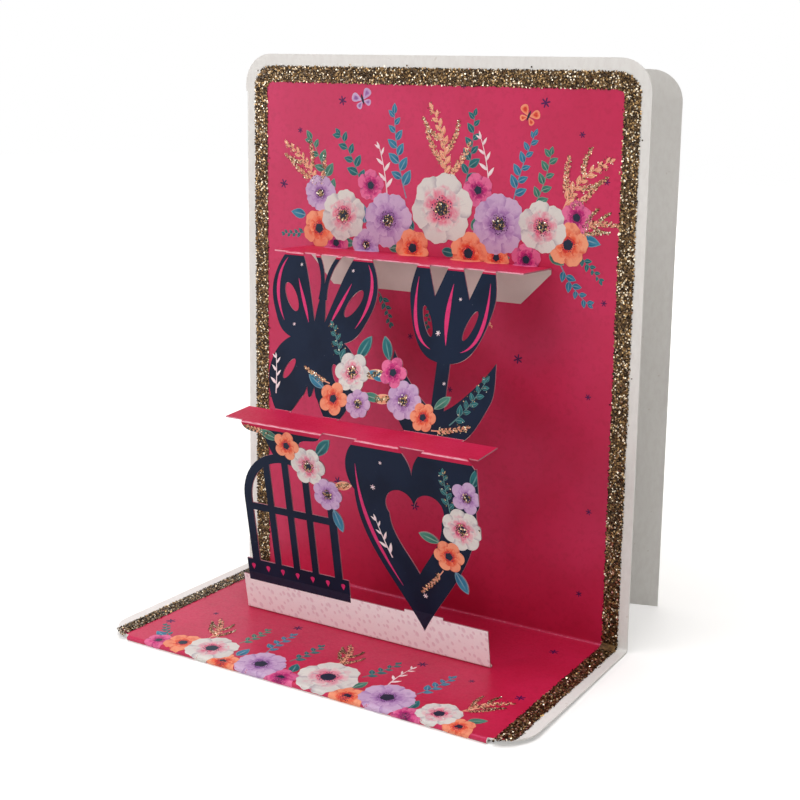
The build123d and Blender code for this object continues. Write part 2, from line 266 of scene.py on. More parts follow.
@dataclass
class Shell:
    """A closed mesh, with its faces as corner indices and corner counts.

    mark and tone hold one vector a point for the shaders, and ink one material number a face.
    """

    points: Array
    corners: Array
    counts: Array
    mark: Array
    tone: Array
    ink: Array

    @staticmethod
    def of(
        points: Array, faces: list[Array], mark: Array | None = None, tone: Array | None = None
    ) -> "Shell":
        """Make a shell in one material.

        Args:
            points: the points, of a shape that ends in 3.
            faces: groups of faces with equal corner counts, of shape (faces, corners).
            mark: one vector a point, or None for zeros.
            tone: another vector a point, or None for zeros.

        Returns:
            The shell.
        """
        points = points.reshape(-1, 3)
        blank = np.zeros_like(points)
        mark, tone = (blank if values is None else values.reshape(-1, 3) for values in (mark, tone))
        corners = np.concatenate([group.ravel() for group in faces])
        counts = np.concatenate([np.full(len(group), group.shape[1]) for group in faces])
        return Shell(points, corners, counts, mark, tone, np.zeros(len(counts), int))

    @staticmethod
    def merge(shells: list["Shell"]) -> "Shell":
        """Put several shells in one mesh.

        Args:
            shells: the shells, whose points keep this order.

        Returns:
            One shell, with every corner index moved past the points before it.
        """
        starts = np.cumsum([0] + [len(shell.points) for shell in shells[:-1]])
        moved = [
            replace(shell, corners=shell.corners + start) for shell, start in zip(shells, starts)
        ]
        columns = ([getattr(shell, item.name) for shell in moved] for item in fields(Shell))
        return Shell(*map(np.concatenate, columns))

    def inked(self, number: int) -> "Shell":
        """The same shell with every face in one material."""
        self.ink = np.full(len(self.counts), number)
        return self

    def mesh(self, name: str) -> bpy.types.Mesh:
        """Make a Blender mesh, in metres.

        Args:
            name: name of the mesh.

        Returns:
            The mesh, flat shaded, with mark and tone as attributes of its points.
        """
        mesh = bpy.data.meshes.new(name)
        mesh.vertices.add(len(self.points))
        mesh.vertices.foreach_set("co", (self.points * MM).astype(np.float32).ravel())
        mesh.loops.add(len(self.corners))
        mesh.loops.foreach_set("vertex_index", self.corners.astype(np.int32))
        mesh.polygons.add(len(self.counts))
        starts = np.concatenate([[0], np.cumsum(self.counts)[:-1]])
        mesh.polygons.foreach_set("loop_start", starts.astype(np.int32))
        mesh.polygons.foreach_set("material_index", self.ink.astype(np.int32))
        for key, values in (("mark", self.mark), ("tone", self.tone)):
            layer = mesh.attributes.new(key, "FLOAT_VECTOR", "POINT")
            layer.data.foreach_set("vector", values.astype(np.float32).ravel())
        mesh.update(calc_edges=True)
        mesh.shade_flat()
        return mesh


def slab(top: Array, bottom: Array) -> Shell:
    """Closed sheet between two grids of points.

    The grids run along the sheet in rows and across it in columns, and the top's normal is
    across x along. Each grid cell is a face, and four walls of quads join the rims.

    Args:
        top: points of the top, of shape (rows, columns, 3).
        bottom: points of the bottom, of the same shape.

    Returns:
        The shell.
    """
    rows, columns = top.shape[:2]
    index = np.arange(rows * columns).reshape(rows, columns)
    under = index + rows * columns
    a, b, c, d = index[:-1, :-1], index[:-1, 1:], index[1:, 1:], index[1:, :-1]
    cells = np.stack([a, b, c, d], -1).reshape(-1, 4)
    left = np.stack([index[:-1, 0], index[1:, 0], under[1:, 0], under[:-1, 0]], -1)
    right = np.stack([index[:-1, -1], under[:-1, -1], under[1:, -1], index[1:, -1]], -1)
    start = np.stack([index[0, :-1], under[0, :-1], under[0, 1:], index[0, 1:]], -1)
    end = np.stack([index[-1, :-1], index[-1, 1:], under[-1, 1:], under[-1, :-1]], -1)
    base = cells[:, ::-1] + rows * columns
    shares = np.meshgrid(np.linspace(0, 1, rows), np.linspace(-1, 1, columns), indexing="ij")
    mark = np.stack([*shares, np.ones((rows, columns))], -1).reshape(-1, 3)
    points = np.concatenate([top.reshape(-1, 3), bottom.reshape(-1, 3)])
    return Shell.of(points, [cells, base, left, right, start, end], np.tile(mark, (2, 1)))


def repeated(groups: list[Array], copies: int, points: int) -> list[Array]:
    """Groups of faces of one copy, for so many copies with so many points apiece."""
    starts = (np.arange(copies) * points)[:, None, None]
    return [(group[None] + starts).reshape(-1, group.shape[1]) for group in groups]


def ray(angle: Array) -> Array:
    """Unit vectors at angles from the first axis, cosine and sine on the last axis."""
    return np.stack([np.cos(angle), np.sin(angle)], -1)


def turned(x: Array, y: Array, cos: Array, sin: Array) -> Array:
    """Plane vectors turned by an angle: (x cos - y sin, x sin + y cos) on the last axis."""
    return np.stack([x * cos - y * sin, x * sin + y * cos], -1)


def distance_run(line: Array) -> Array:
    """Distance along a line at each of its points, the running sum of its steps' lengths."""
    return np.concatenate([[0.0], np.cumsum(np.hypot(*np.diff(line, axis=0).T))])


def read_rows(at: Array, stations: Array, rows: Array) -> Array:
    """Rows read by straight lines at places between their stations."""
    return np.stack([np.interp(at, stations, column) for column in rows.T], -1)


def right_of(path: Array) -> Array:
    """Unit vectors to the right of a path, its run at each point turned a quarter clockwise."""
    x, y = np.gradient(path, axis=0).T
    return np.stack([y, -x], -1) / np.hypot(x, y)[:, None]


@dataclass(frozen=True)
class Section:
    """Printed side of a sheet: a line in the YZ plane, carried along X.

    A place on it is (across, along, lift): across runs with X, along follows the line and lift
    stands off it. across x along is the side that lift points to. What runs past an end of the
    line is drawn back to it, but for a hundredth of the way, so that no two points meet.
    """

    line: Array
    normals: Array
    along: Array
    middle: float = 0.0
    half: float = math.inf

    PAST_END = 0.01

    @staticmethod
    def straight(
        start: tuple[float, float],
        end: tuple[float, float],
        lift: float,
        middle: float,
        half: float = math.inf,
    ) -> "Section":
        """Flat face from one fold to the next.

        Args:
            start: (y, z) where the face starts, on the middle of the card.
            end: (y, z) where it ends.
            lift: how far the printed side stands off that line.
            middle: middle of the sheet along X.
            half: half the sheet's width.

        Returns:
            The face.
        """
        line = np.array([start, end], float)
        run = line[1] - line[0]
        length = float(np.hypot(*run))
        normal = np.array([-run[1], run[0]]) / length
        ends = np.array([0.0, length])
        return Section(line + lift * normal, np.array([normal, normal]), ends, middle, half)

    def at(self, across: Array, along: Array, lift: Array) -> Array:
        """Points for places on the face.

        Args:
            across: places across the sheet.
            along: places along the line.
            lift: heights off it.

        Returns:
            Points of the same shape, with x, y and z on a last axis.
        """
        y, z, ny, nz = self._read(along)
        past = self.PAST_END * (along - np.clip(along, self.along[0], self.along[-1]))
        across = across + self.middle
        return np.stack([across, y + ny * lift + nz * past, z + nz * lift - ny * past], -1)

    def normal(self, along: Array) -> Array:
        """Directions that lift points to."""
        _, _, ny, nz = self._read(along)
        return np.stack([np.zeros_like(ny), ny, nz], -1)

    def _read(self, along: Array) -> tuple[Array, Array, Array, Array]:
        """Line and unit normal, or those of the nearer end past it.

        Args:
            along: distances along the section.

        Returns:
            y and z of the line, and y and z of the normal.
        """
        y, z = (np.interp(along, self.along, values) for values in self.line.T)
        ny, nz = (np.interp(along, self.along, values) for values in self.normals.T)
        size = np.hypot(ny, nz)
        return y, z, ny / size, nz / size


@dataclass(frozen=True)
class TurnedSection(Section):
    """A section seen half a turn round, so that across runs against X."""

    def at(self, across: Array, along: Array, lift: Array) -> Array:
        """Points for places on the face, with what runs past an end drawn back to it."""
        y, z, ny, nz = self._read(along)
        return np.stack([self.middle - across, y + ny * lift, z + nz * lift], -1)


def coat(face: Section, across: Array, along: Array, lift: float) -> Shell:
    """Thin closed sheet that lies on a face, from a grid of places to the same grid lifted."""
    heights = (np.full(across.shape, height) for height in (lift, 0.0))
    return slab(*(face.at(across, along, height) for height in heights))


def arc(
    centre: tuple[float, float],
    radius: float,
    start: float,
    end: float,
    hollow: bool,
    count: int = 13,
) -> tuple[Array, Array]:
    """Points and printed-side normals of an arc, whose normals run from one angle to another."""
    normals = ray(np.linspace(start, end, count))
    return np.array(centre) + (-radius if hollow else radius) * normals, normals


# The card's own sizes


@dataclass(frozen=True)
class CoverShape:
    """Inner face of the folded cover, from the frame and the sizes of its folds."""

    left: float
    right: float
    front: float
    face: float
    top: float
    board: float = 0.45
    fold_bend: float = 1.1
    lip_height: float = 1.5
    corner_radius: float = 9.0
    glue_line: float = 0.02
    wrap: float = math.radians(140)

    @staticmethod
    def from_frame() -> "CoverShape":
        """Read the cover's box, and its upright from the tab that is glued to it.

        Returns:
            The shape.
        """
        low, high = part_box(COVER_NODE)
        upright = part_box(INSERT_NODE)[1].y / MM + CoverShape.glue_line
        return CoverShape(low.x / MM, high.x / MM, low.y / MM, upright, high.z / MM)

    @property
    def reach(self) -> float:
        """How far the base comes forward of the upright."""
        return self.face - self.front

    @property
    def rise(self) -> float:
        """Angle of the base, which climbs over the flap that is folded under it."""
        run = self.face + self.board / 2 - self.front - self.lip_height / 2
        return math.atan((self.lip_height - self.board) / run)

    def base_middle(self, y: float) -> float:
        """Height of the middle of the base's board.

        Args:
            y: place in front of the upright or under it.

        Returns:
            The height above the table.
        """
        bend = (self.lip_height - self.board) / 2
        lip_y = self.front + self.lip_height / 2 + bend * math.sin(self.rise)
        lip_z = self.lip_height / 2 + bend * math.cos(self.rise)
        return lip_z - (y - lip_y) * math.tan(self.rise)

    def section(self) -> Section:
        """Printed side from under the front lip, over the base and up the upright.

        Returns:
            The face. On the upright, along is the height above the table. On the base it is
            about the distance from the upright, less than zero.
        """
        bend = self.fold_bend - self.board / 2
        up = math.pi / 2 - self.rise
        surface = self.base_middle(self.face) + self.board / 2 / math.cos(self.rise)
        centre_y = self.face - bend
        centre_z = surface + bend * math.tan(self.rise) + bend / math.cos(self.rise)
        lip = self.lip_height / 2
        under, under_normals = arc((self.front + lip, lip), lip, up + self.wrap, up, False)
        fold, fold_normals = arc((centre_y, centre_z), bend, up, math.pi, True)
        line = np.concatenate([under, fold, [[self.face, self.top]]])
        normals = np.concatenate([under_normals, fold_normals, [[-1.0, 0.0]]])
        along = distance_run(line)
        return Section(line, normals, along - along[-1] + self.top)


@dataclass(frozen=True)
class InsertShape:
    """Fold points of the stepped insert, as (y, z) on the middle of its card."""

    cover: CoverShape
    middle: float
    card: float = 0.35
    upper_fold: float = 104.0
    upper_shelf: float = 17.5
    upper_tier: float = 44.7
    lower_shelf: float = 12.2
    base_reach: float = 29.4
    strip: float = 11.0
    half_width: float = 39.97
    shelf_rise: float = math.radians(1.0)
    tier_lean: float = math.radians(13.0)

    @property
    def lower_tier(self) -> float:
        """Length of the lower tier, which lets the card shut flat."""
        shelves = self.upper_shelf + self.lower_shelf
        return shelves - self.upper_tier - self.base_reach + self.upper_fold

    @property
    def shelf_rear(self) -> tuple[float, float]:
        """Upper fold, at the upright."""
        return self.cover.face - self.cover.glue_line - self.card / 2, self.upper_fold

    @property
    def shelf_front(self) -> tuple[float, float]:
        """Front fold of the upper shelf.

        Returns:
            y and z.
        """
        y, z = self.shelf_rear
        run, climb = (self.upper_shelf * share for share in ray(self.shelf_rise).tolist())
        return y - run, z + climb

    @property
    def step_rear(self) -> tuple[float, float]:
        """Fold at the foot of the upper tier.

        Returns:
            y and z.
        """
        y, z = self.shelf_front
        fall, run = (self.upper_tier * share for share in ray(self.tier_lean).tolist())
        return y - run, z - fall

    @property
    def foot(self) -> tuple[float, float]:
        """Fold at the foot of the lower tier, on the base.

        Returns:
            y and z.
        """
        y = self.cover.face - self.base_reach
        stack = self.cover.board / 2 + self.cover.glue_line + self.card / 2
        return y, self.cover.base_middle(y) + stack / math.cos(self.cover.rise)

    @property
    def step_front(self) -> tuple[float, float]:
        """Front fold of the lower shelf, the outer corner of two panels of known length.

        It stands square off the line from the foot to the upper tier's foot, at the part of
        that line which (span^2 + tier^2 - shelf^2) / (2 span) gives.

        Returns:
            y and z.
        """
        (ay, az), (by, bz) = self.foot, self.step_rear
        dy, dz = by - ay, bz - az
        span = math.hypot(dy, dz)
        part = (span**2 + self.lower_tier**2 - self.lower_shelf**2) / (2 * span)
        out = math.sqrt(self.lower_tier**2 - part**2)
        return ay + (part * dy - out * dz) / span, az + (part * dz + out * dy) / span

    def upper_face(self) -> Section:
        """Front of the upper tier, with along measured from its lower fold."""
        ends = self.step_rear, self.shelf_front
        return Section.straight(*ends, self.card / 2, self.middle, self.half_width)

    def lower_face(self) -> Section:
        """Front of the lower tier, with along measured from its lower fold."""
        ends = self.foot, self.step_front
        return Section.straight(*ends, self.card / 2, self.middle, self.half_width)

    def shelf_from_fold(self) -> Section:
        """Top of the upper shelf, with along forwards from the upright and across leftwards."""
        face = Section.straight(self.shelf_front, self.shelf_rear, self.card / 2, 0.0)
        return TurnedSection(face.line[::-1], face.normals[::-1], np.array([0.0, self.upper_shelf]))


# Finishes


def paper_tooth(w: Wiring) -> Socket:
    """Fine noise of the paper's surface under the print."""
    return w.noise(w.place(), 1500.0, 3.0, 0.6)


def close_print(w: Wiring, colour: Socket) -> bpy.types.Material:
    """Finish an ink of that colour as satin print with the paper's tooth."""
    normal = w.bump(paper_tooth(w), 0.35, 0.02)
    return w.close(Base_Color=colour, Roughness=0.45, Normal=normal, Specular_IOR_Level=0.22)


@dataclass(frozen=True)
class WhiteBoard:
    """Uncoated white board: a faint fibre, stray flecks and a soft tooth."""

    name: str = "white_board"
    light: Tone = Tone(235, 234, 231)
    dark: Tone = Tone(230, 228, 225)
    fleck: Tone = Tone(188, 178, 164)

    def make(self) -> bpy.types.Material:
        """Build the material.

        Returns:
            The material.
        """
        w = Wiring.ink(self.name)
        place = w.place()
        fibre = w.noise(w.stretch(place, 1.0, 1.0, 0.45), 900.0, 5.0, 0.6)
        cloud = w.step(w.noise(place, 45.0, 3.0), 0.42, 0.7)
        specks = w.step(w.noise(place, 520.0, 1.0), 0.75, 0.79)
        tooth = w.noise(place, 2600.0, 3.0)
        tone = w.mix(w.step(fibre, 0.35, 0.68), self.light, self.dark)
        tone = w.mix(w.times(cloud, 0.3), tone, self.dark)
        tone = w.mix(w.times(specks, 0.3), tone, self.fleck)
        return w.close(
            Base_Color=tone,
            Roughness=w.spread(fibre, 0.5, 0.66),
            Normal=w.bump(w.math("ADD", tooth, fibre), 0.35, 0.02),
            Specular_IOR_Level=0.35,
        )


@dataclass(frozen=True)
class RoseField:
    """Rose print on the cover: satin, faintly mottled, cracked white along the fold."""

    fold: tuple[float, float]
    name: str = "rose_print"
    light: Tone = Tone(199, 28, 71)
    dark: Tone = Tone(191, 22, 62)
    deep: Tone = Tone(180, 17, 54)
    worn: Tone = Tone(228, 150, 168)
    sheen: Tone = Tone(232, 200, 255)
    crack: tuple[float, float] = (0.30, 0.10)

    def make(self) -> bpy.types.Material:
        """Build the material, cracked where a point is near the fold's line.

        Returns:
            The material.
        """
        w = Wiring.ink(self.name)
        place = w.place()
        grain = paper_tooth(w)
        cloud = w.step(w.noise(place, 60.0, 4.0), 0.38, 0.66)
        mottle = w.step(w.noise(place, 620.0, 4.0, 0.65), 0.46, 0.7)
        tone = w.mix(cloud, self.light, self.dark)
        tone = w.mix(w.times(mottle, 0.55), tone, self.deep)

        _, y, z = w.split(place)
        fold = (0.0, self.fold[0] * MM, self.fold[1] * MM)
        near = w.step(w.vector("DISTANCE", w.join(0.0, y, z), fold), *(MM * v for v in self.crack))
        broken = w.step(w.noise(w.stretch(place, 1.0, 3.0, 3.0), 900.0, 4.0, 0.6), 0.54, 0.66)
        tone = w.mix(w.times(near, w.math("MULTIPLY_ADD", broken, 0.6, 0.04)), tone, self.worn)

        wave = w.noise(place, 38.0, 2.0)
        return w.close(
            Base_Color=tone,
            Roughness=w.spread(grain, 0.36, 0.5),
            Normal=w.bump(w.math("MULTIPLY_ADD", wave, 9.0, grain), 0.5, 0.02),
            Specular_IOR_Level=0.65,
            Specular_Tint=self.sheen.linear(),
        )


@dataclass(frozen=True)
class PrintedCard:
    """The insert: rose shelves, navy tiers and a dotted strip in front, white card behind.

    rose_under and rose_above_tier say how far the rose runs past the shelves on to the tiers,
    slack is what the lower shelf may rise, and tab_reach is the depth of the tab's zone at the
    upright. edge_on, sloped and square_on are shares of a normal that tell the sides apart.
    """

    shape: InsertShape
    name: str = "printed_card"
    rose: Tone = Tone(194, 36, 76)
    rose_dark: Tone = Tone(184, 28, 66)
    navy: Tone = Tone(21, 33, 55)
    navy_dark: Tone = Tone(15, 25, 45)
    blank: Tone = Tone(222, 208, 204)
    cut_edge: Tone = Tone(178, 122, 136)
    board_core: Tone = Tone(204, 190, 186)
    strip: Tone = Tone(254, 250, 252)
    dot: Tone = Tone(228, 203, 214)
    # Pale wear along edges and folds, which at the shelves' front edges is also a painted highlight
    worn: Tone = Tone(236, 172, 188)
    worn_navy: Tone = Tone(120, 122, 142)
    rose_under: float = 0.4
    rose_above_tier: float = 1.3
    nose_drop: float = 0.25
    slack: float = 0.15
    tab_reach: float = 4.0
    tab_height: float = 1.0
    strip_more: float = 0.9
    edge_on: float = 0.35
    sloped: float = 0.6
    square_on: float = 0.8

    def make(self) -> bpy.types.Material:
        """Build the material, with each zone found from the place and the side of the card.

        The front edge of a shelf, cut or folded, is worn down to the paper and carries a painted
        highlight.

        Returns:
            The material.
        """
        w = Wiring.ink(self.name)
        place = w.place()
        _, y, z = w.split(place)
        _, turned_y, turned_z = w.split(w.add("ShaderNodeNewGeometry").outputs["Normal"])
        shape = self.shape
        step_rear, step_front = shape.step_rear[1], shape.step_front[1]
        step_top = max(step_rear, step_front) + shape.card / 2 + self.slack
        on_step = w.under(z, step_top * MM)
        on_tier = w.under(y, (shape.shelf_rear[0] - self.tab_reach) * MM)
        forward = w.under(turned_y, -self.square_on)

        shelf_zone = w.over(z, (shape.upper_fold - self.rose_under) * MM)
        step_zone = w.times(on_step, w.over(z, (step_front - self.rose_above_tier) * MM))
        faces_out = w.most(w.over(turned_z, self.edge_on), w.under(turned_y, -self.edge_on))
        printed_rose = w.times(w.most(shelf_zone, step_zone), faces_out)
        printed_tier = w.times(on_tier, forward)

        upper_nose = w.over(z, (shape.shelf_front[1] - self.nose_drop) * MM)
        lower_nose = w.over(z, (step_front - self.nose_drop) * MM)
        nose = w.most(upper_nose, w.times(on_step, lower_nose))
        # Pale line under each shelf's front edge: wear, and a painted highlight on that edge
        rubbed_and_lit_nose = w.step(w.noise(w.stretch(place, 0.5, 1.0, 1.0), 700.0, 3.0), 0.36, 0.5)
        rubbed_and_lit_nose = w.times(nose, printed_tier, w.math("MULTIPLY_ADD", rubbed_and_lit_nose, 0.4, 0.5))

        back = w.most(w.over(turned_y, self.sloped), w.under(turned_z, -self.sloped))
        upper_tab = w.times(forward, w.math("SUBTRACT", 1.0, on_tier))
        on_base = w.under(z, (shape.foot[1] + self.tab_height) * MM)
        lower_tab = w.times(w.over(turned_z, self.sloped), on_base)
        unprinted = w.most(back, upper_tab, lower_tab)

        cloud = w.step(w.noise(place, 90.0, 4.0), 0.38, 0.66)
        grain = paper_tooth(w)
        scuffs = w.noise(w.stretch(place, 0.5, 1.0, 1.0), 1300.0, 4.0, 0.7)
        rose = w.mix(cloud, self.rose, self.rose_dark)
        navy = w.mix(cloud, self.navy, self.navy_dark)
        navy = w.mix(w.times(w.step(scuffs, 0.68, 0.76), 0.35), navy, self.worn_navy)
        climb = (step_front - shape.foot[1]) / shape.lower_tier
        in_strip = w.under(z, (shape.foot[1] + (shape.strip + self.strip_more) * climb) * MM)
        tier = w.mix(in_strip, navy, self._dotted(w, place))
        blank = w.mix(w.times(cloud, 0.5), self.blank, self.board_core)
        tone = w.mix(unprinted, self.cut_edge, blank)
        tone = w.mix(printed_tier, tone, tier)
        tone = w.mix(printed_rose, tone, rose)
        tone = w.mix(rubbed_and_lit_nose, tone, self.worn)
        tone = w.mix(w.times(self._worn_and_lit_folds(w, place), faces_out), tone, self.worn)
        return w.close(
            Base_Color=tone,
            Roughness=w.spread(grain, 0.36, 0.52),
            Normal=w.bump(w.math("MULTIPLY_ADD", cloud, 0.8, grain), 0.4, 0.02),
            Specular_IOR_Level=0.1,
        )

    def _dotted(self, w: Wiring, place: Socket) -> Socket:
        """Pale strip with soft scattered drops that lean, and smaller ones between them.

        Args:
            w: wiring of the card.
            place: the point.

        Returns:
            The strip's colour.
        """
        x, _, z = w.split(place)
        flat = w.join(w.math("MULTIPLY_ADD", z, 0.3, x), w.times(z, 0.8))
        shares = []
        for scale, reach, strength in ((500.0, 0.32, 0.6), (1000.0, 0.15, 0.25)):
            inputs = {"Vector": flat, "Scale": scale, "Randomness": 0.85}
            cells = w.add("ShaderNodeTexVoronoi", inputs, voronoi_dimensions="2D").outputs
            chance = w.math("MULTIPLY_ADD", w.split(cells["Color"])[0], 0.7, 0.75)
            drops = w.step(w.times(cells["Distance"], chance), reach, reach * 0.5)
            shares.append(w.times(drops, strength))
        return w.mix(w.most(*shares), self.strip, self.dot)

    def _worn_and_lit_folds(self, w: Wiring, place: Socket) -> Socket:
        """Find a broken pale line along each fold of the printed side: wear, with a painted
        highlight on the two front folds.

        Args:
            w: wiring of the card.
            place: the point.

        Returns:
            How much of the print is turned pale, by wear and by the painted highlight.
        """
        shape = self.shape
        _, y, z = w.split(place)
        flat = w.join(0.0, y, z)
        long_grain = w.noise(w.stretch(place, 0.35, 2.0, 2.0), 1300.0, 4.0, 0.65)
        shares = []
        # The front folds' lines are partly painted highlight, the rear folds' lines are wear
        for (fold_y, fold_z), width, least in (
            (shape.shelf_front, 0.40, 0.46),
            (shape.step_front, 0.40, 0.44),
            (shape.step_rear, 0.38, 0.52),
            (shape.shelf_rear, 0.34, 0.58),
        ):
            away = w.vector("DISTANCE", flat, (0.0, fold_y * MM, fold_z * MM))
            near = w.step(away, width * MM, width * 0.6 * MM)
            broken = w.step(long_grain, least, least + 0.16)
            shares.append(w.times(near, w.math("MULTIPLY_ADD", broken, 0.6, 0.22)))
        return w.most(*shares)


@dataclass(frozen=True)
class PetalInk:
    """A printed flower: a wash from its heart to its rim, veins, and petals of differing depth."""

    name: str
    heart: Tone
    blush: Tone
    rim: Tone
    shade: Tone

    def make(self) -> bpy.types.Material:
        """Build the material from the point's place in the flower.

        mark holds that place and its reach, 1 at the rim. tone holds the flower's seed and its
        number of petals. turn counts petals round the hub, so that its whole part numbers them.

        Returns:
            The material.
        """
        w = Wiring.ink(self.name)
        mark = w.attribute("mark")
        x, y, reach = w.split(mark)
        seed, petals, _ = w.split(w.attribute("tone"))
        shift = w.times(seed, 37.0)
        moved = w.vector("ADD", mark, w.join(shift, shift, shift))
        wash = w.math("SUBTRACT", w.noise(moved, 2.3, 4.0, 0.6), 0.5)
        away = w.math("MULTIPLY_ADD", wash, 0.75, reach)
        stops = [(0.32, self.heart), (0.5, self.blush), (0.7, self.rim), (1.0, self.rim)]
        colour = w.ramp(away, stops)

        wander = w.math("MULTIPLY_ADD", w.noise(moved, 2.6, 2.0), 0.3, 0.35)
        pitch = w.math("DIVIDE", petals, TAU)
        turn = w.math("MULTIPLY_ADD", w.math("ARCTAN2", y, x), pitch, wander)
        number = w.math("FLOORED_MODULO", w.math("FLOOR", turn), petals)
        draw = {"W": w.math("MULTIPLY_ADD", number, 7.3, shift)}
        chance = w.add("ShaderNodeTexWhiteNoise", draw, noise_dimensions="1D").outputs["Value"]
        colour = w.mix(w.times(chance, 0.3), colour, self.shade)

        spoke = w.stretch(w.vector("NORMALIZE", w.join(x, y)), 6.0, 6.0, 6.0)
        vein = w.noise(w.vector("ADD", spoke, w.join(shift, 0.0, reach)), 2.0, 4.0, 0.7)
        vein = w.times(w.step(vein, 0.50, 0.68), w.step(reach, 1.05, 0.3))
        colour = w.mix(w.times(vein, 0.45), colour, self.shade)

        part = w.math("FRACT", turn)
        outer = w.step(reach, 0.12, 0.6)
        lit = w.times(w.step(part, 0.72, 1.0), outer, 0.5)
        colour = w.mix(lit, colour, self.rim)
        overlap = w.times(w.step(part, 0.24, 0.0), outer, 0.75)
        colour = w.mix(overlap, colour, self.shade)
        bloom = w.step(w.noise(moved, 4.2, 4.0, 0.6), 0.5, 0.66)
        colour = w.mix(w.times(bloom, 0.4), colour, self.rim)
        pool = w.times(w.step(w.noise(moved, 1.7, 3.0, 0.6), 0.54, 0.66), w.step(reach, 0.4, 0.8))
        colour = w.mix(w.times(pool, 0.4), colour, self.shade)
        return close_print(w, colour)


@dataclass(frozen=True)
class LeafInk:
    """A printed leaf: darker at its stalk, one half lighter, with a pale rib and a thin outline."""

    name: str
    stalk: Tone
    tip: Tone
    rib: Tone
    outline: float = 0.45

    def make(self) -> bpy.types.Material:
        """Build the material from the point's place in the leaf.

        mark holds the place along the leaf, the place across it from -1 to 1, and the reach.

        Returns:
            The material.
        """
        w = Wiring.ink(self.name)
        mark = w.attribute("mark")
        along, side, reach = w.split(mark)
        seed, _, _ = w.split(w.attribute("tone"))
        shift = w.times(seed, 29.0)
        wash = w.noise(w.vector("ADD", mark, w.join(shift, shift, shift)), 2.2, 3.0)
        share = w.math("MULTIPLY_ADD", along, 0.5, w.math("SUBTRACT", wash, 0.25))
        colour = w.mix(w.step(share, 0.1, 0.72), self.stalk, self.tip)
        colour = w.mix(w.times(w.over(side, 0.0), seed, 0.6), colour, self.tip)
        rib = w.times(w.step(w.math("ABSOLUTE", side), 0.17, 0.07), w.step(along, 0.9, 0.5), 0.6)
        edge = w.times(w.step(reach, 0.82, 0.92), self.outline)
        return close_print(w, w.mix(w.most(rib, edge), colour, self.rib))


@dataclass(frozen=True)
class SolidInk:
    """One flat ink with a slightly uneven cover."""

    name: str
    tone: Tone
    thin: Tone

    def make(self) -> bpy.types.Material:
        """Build the material.

        Returns:
            The material.
        """
        w = Wiring.ink(self.name)
        uneven = w.step(w.noise(w.place(), 900.0, 4.0, 0.65), 0.42, 0.68)
        return close_print(w, w.mix(uneven, self.tone, self.thin))


@dataclass(frozen=True)
class GlitterFlake:
    """Loose metal flakes, each with a painted brightness from painted shade to a painted glint."""

    name: str
    shade: Tone
    bronze: Tone
    gold: Tone
    painted_glint: Tone

    def make(self) -> bpy.types.Material:
        """Build the material from the flake's painted brightness and its hue, which tone holds.

        Returns:
            The material.
        """
        w = Wiring.ink(self.name)
        # tone holds each flake's painted brightness, from painted shade to painted glint, and its
        # hue
        bright, hue, _ = w.split(w.attribute("tone"))
        # Painted light: by its brightness, a flake's colour runs from painted shade to a painted
        # glint
        stops = [(0.30, self.shade), (0.68, self.bronze), (0.88, self.gold), (0.958, self.painted_glint)]
        colour = w.mix(w.times(w.step(hue, 0.6, 1.0), 0.25), w.ramp(bright, stops), self.bronze)
        scratch = w.noise(w.place(), 5200.0, 2.0)
        return w.close(Base_Color=colour, Metallic=0.78, Roughness=w.spread(scratch, 0.2, 0.38))


@dataclass(frozen=True)
class GlueBed:
    """Clear glue between the flakes, dark where it has run over the print."""

    name: str = "glue_bed"
    deep: Tone = Tone(74, 52, 28)
    thin: Tone = Tone(126, 96, 56)

    def make(self) -> bpy.types.Material:
        """Build the material.

        Returns:
            The material.
        """
        w = Wiring.ink(self.name)
        place = w.place()
        pooled = w.step(w.noise(place, 1400.0, 3.0), 0.4, 0.65)
        lumps = w.bump(w.noise(place, 2200.0, 2.0), 0.8, 0.08)
        return w.close(Base_Color=w.mix(pooled, self.deep, self.thin), Roughness=0.3, Normal=lumps)


def petals_of(name: str, *tones: tuple[float, float, float]) -> PetalInk:
    """A petal ink from its heart, blush, rim and shade."""
    return PetalInk(f"{name}_petal", *(Tone(*tone) for tone in tones))


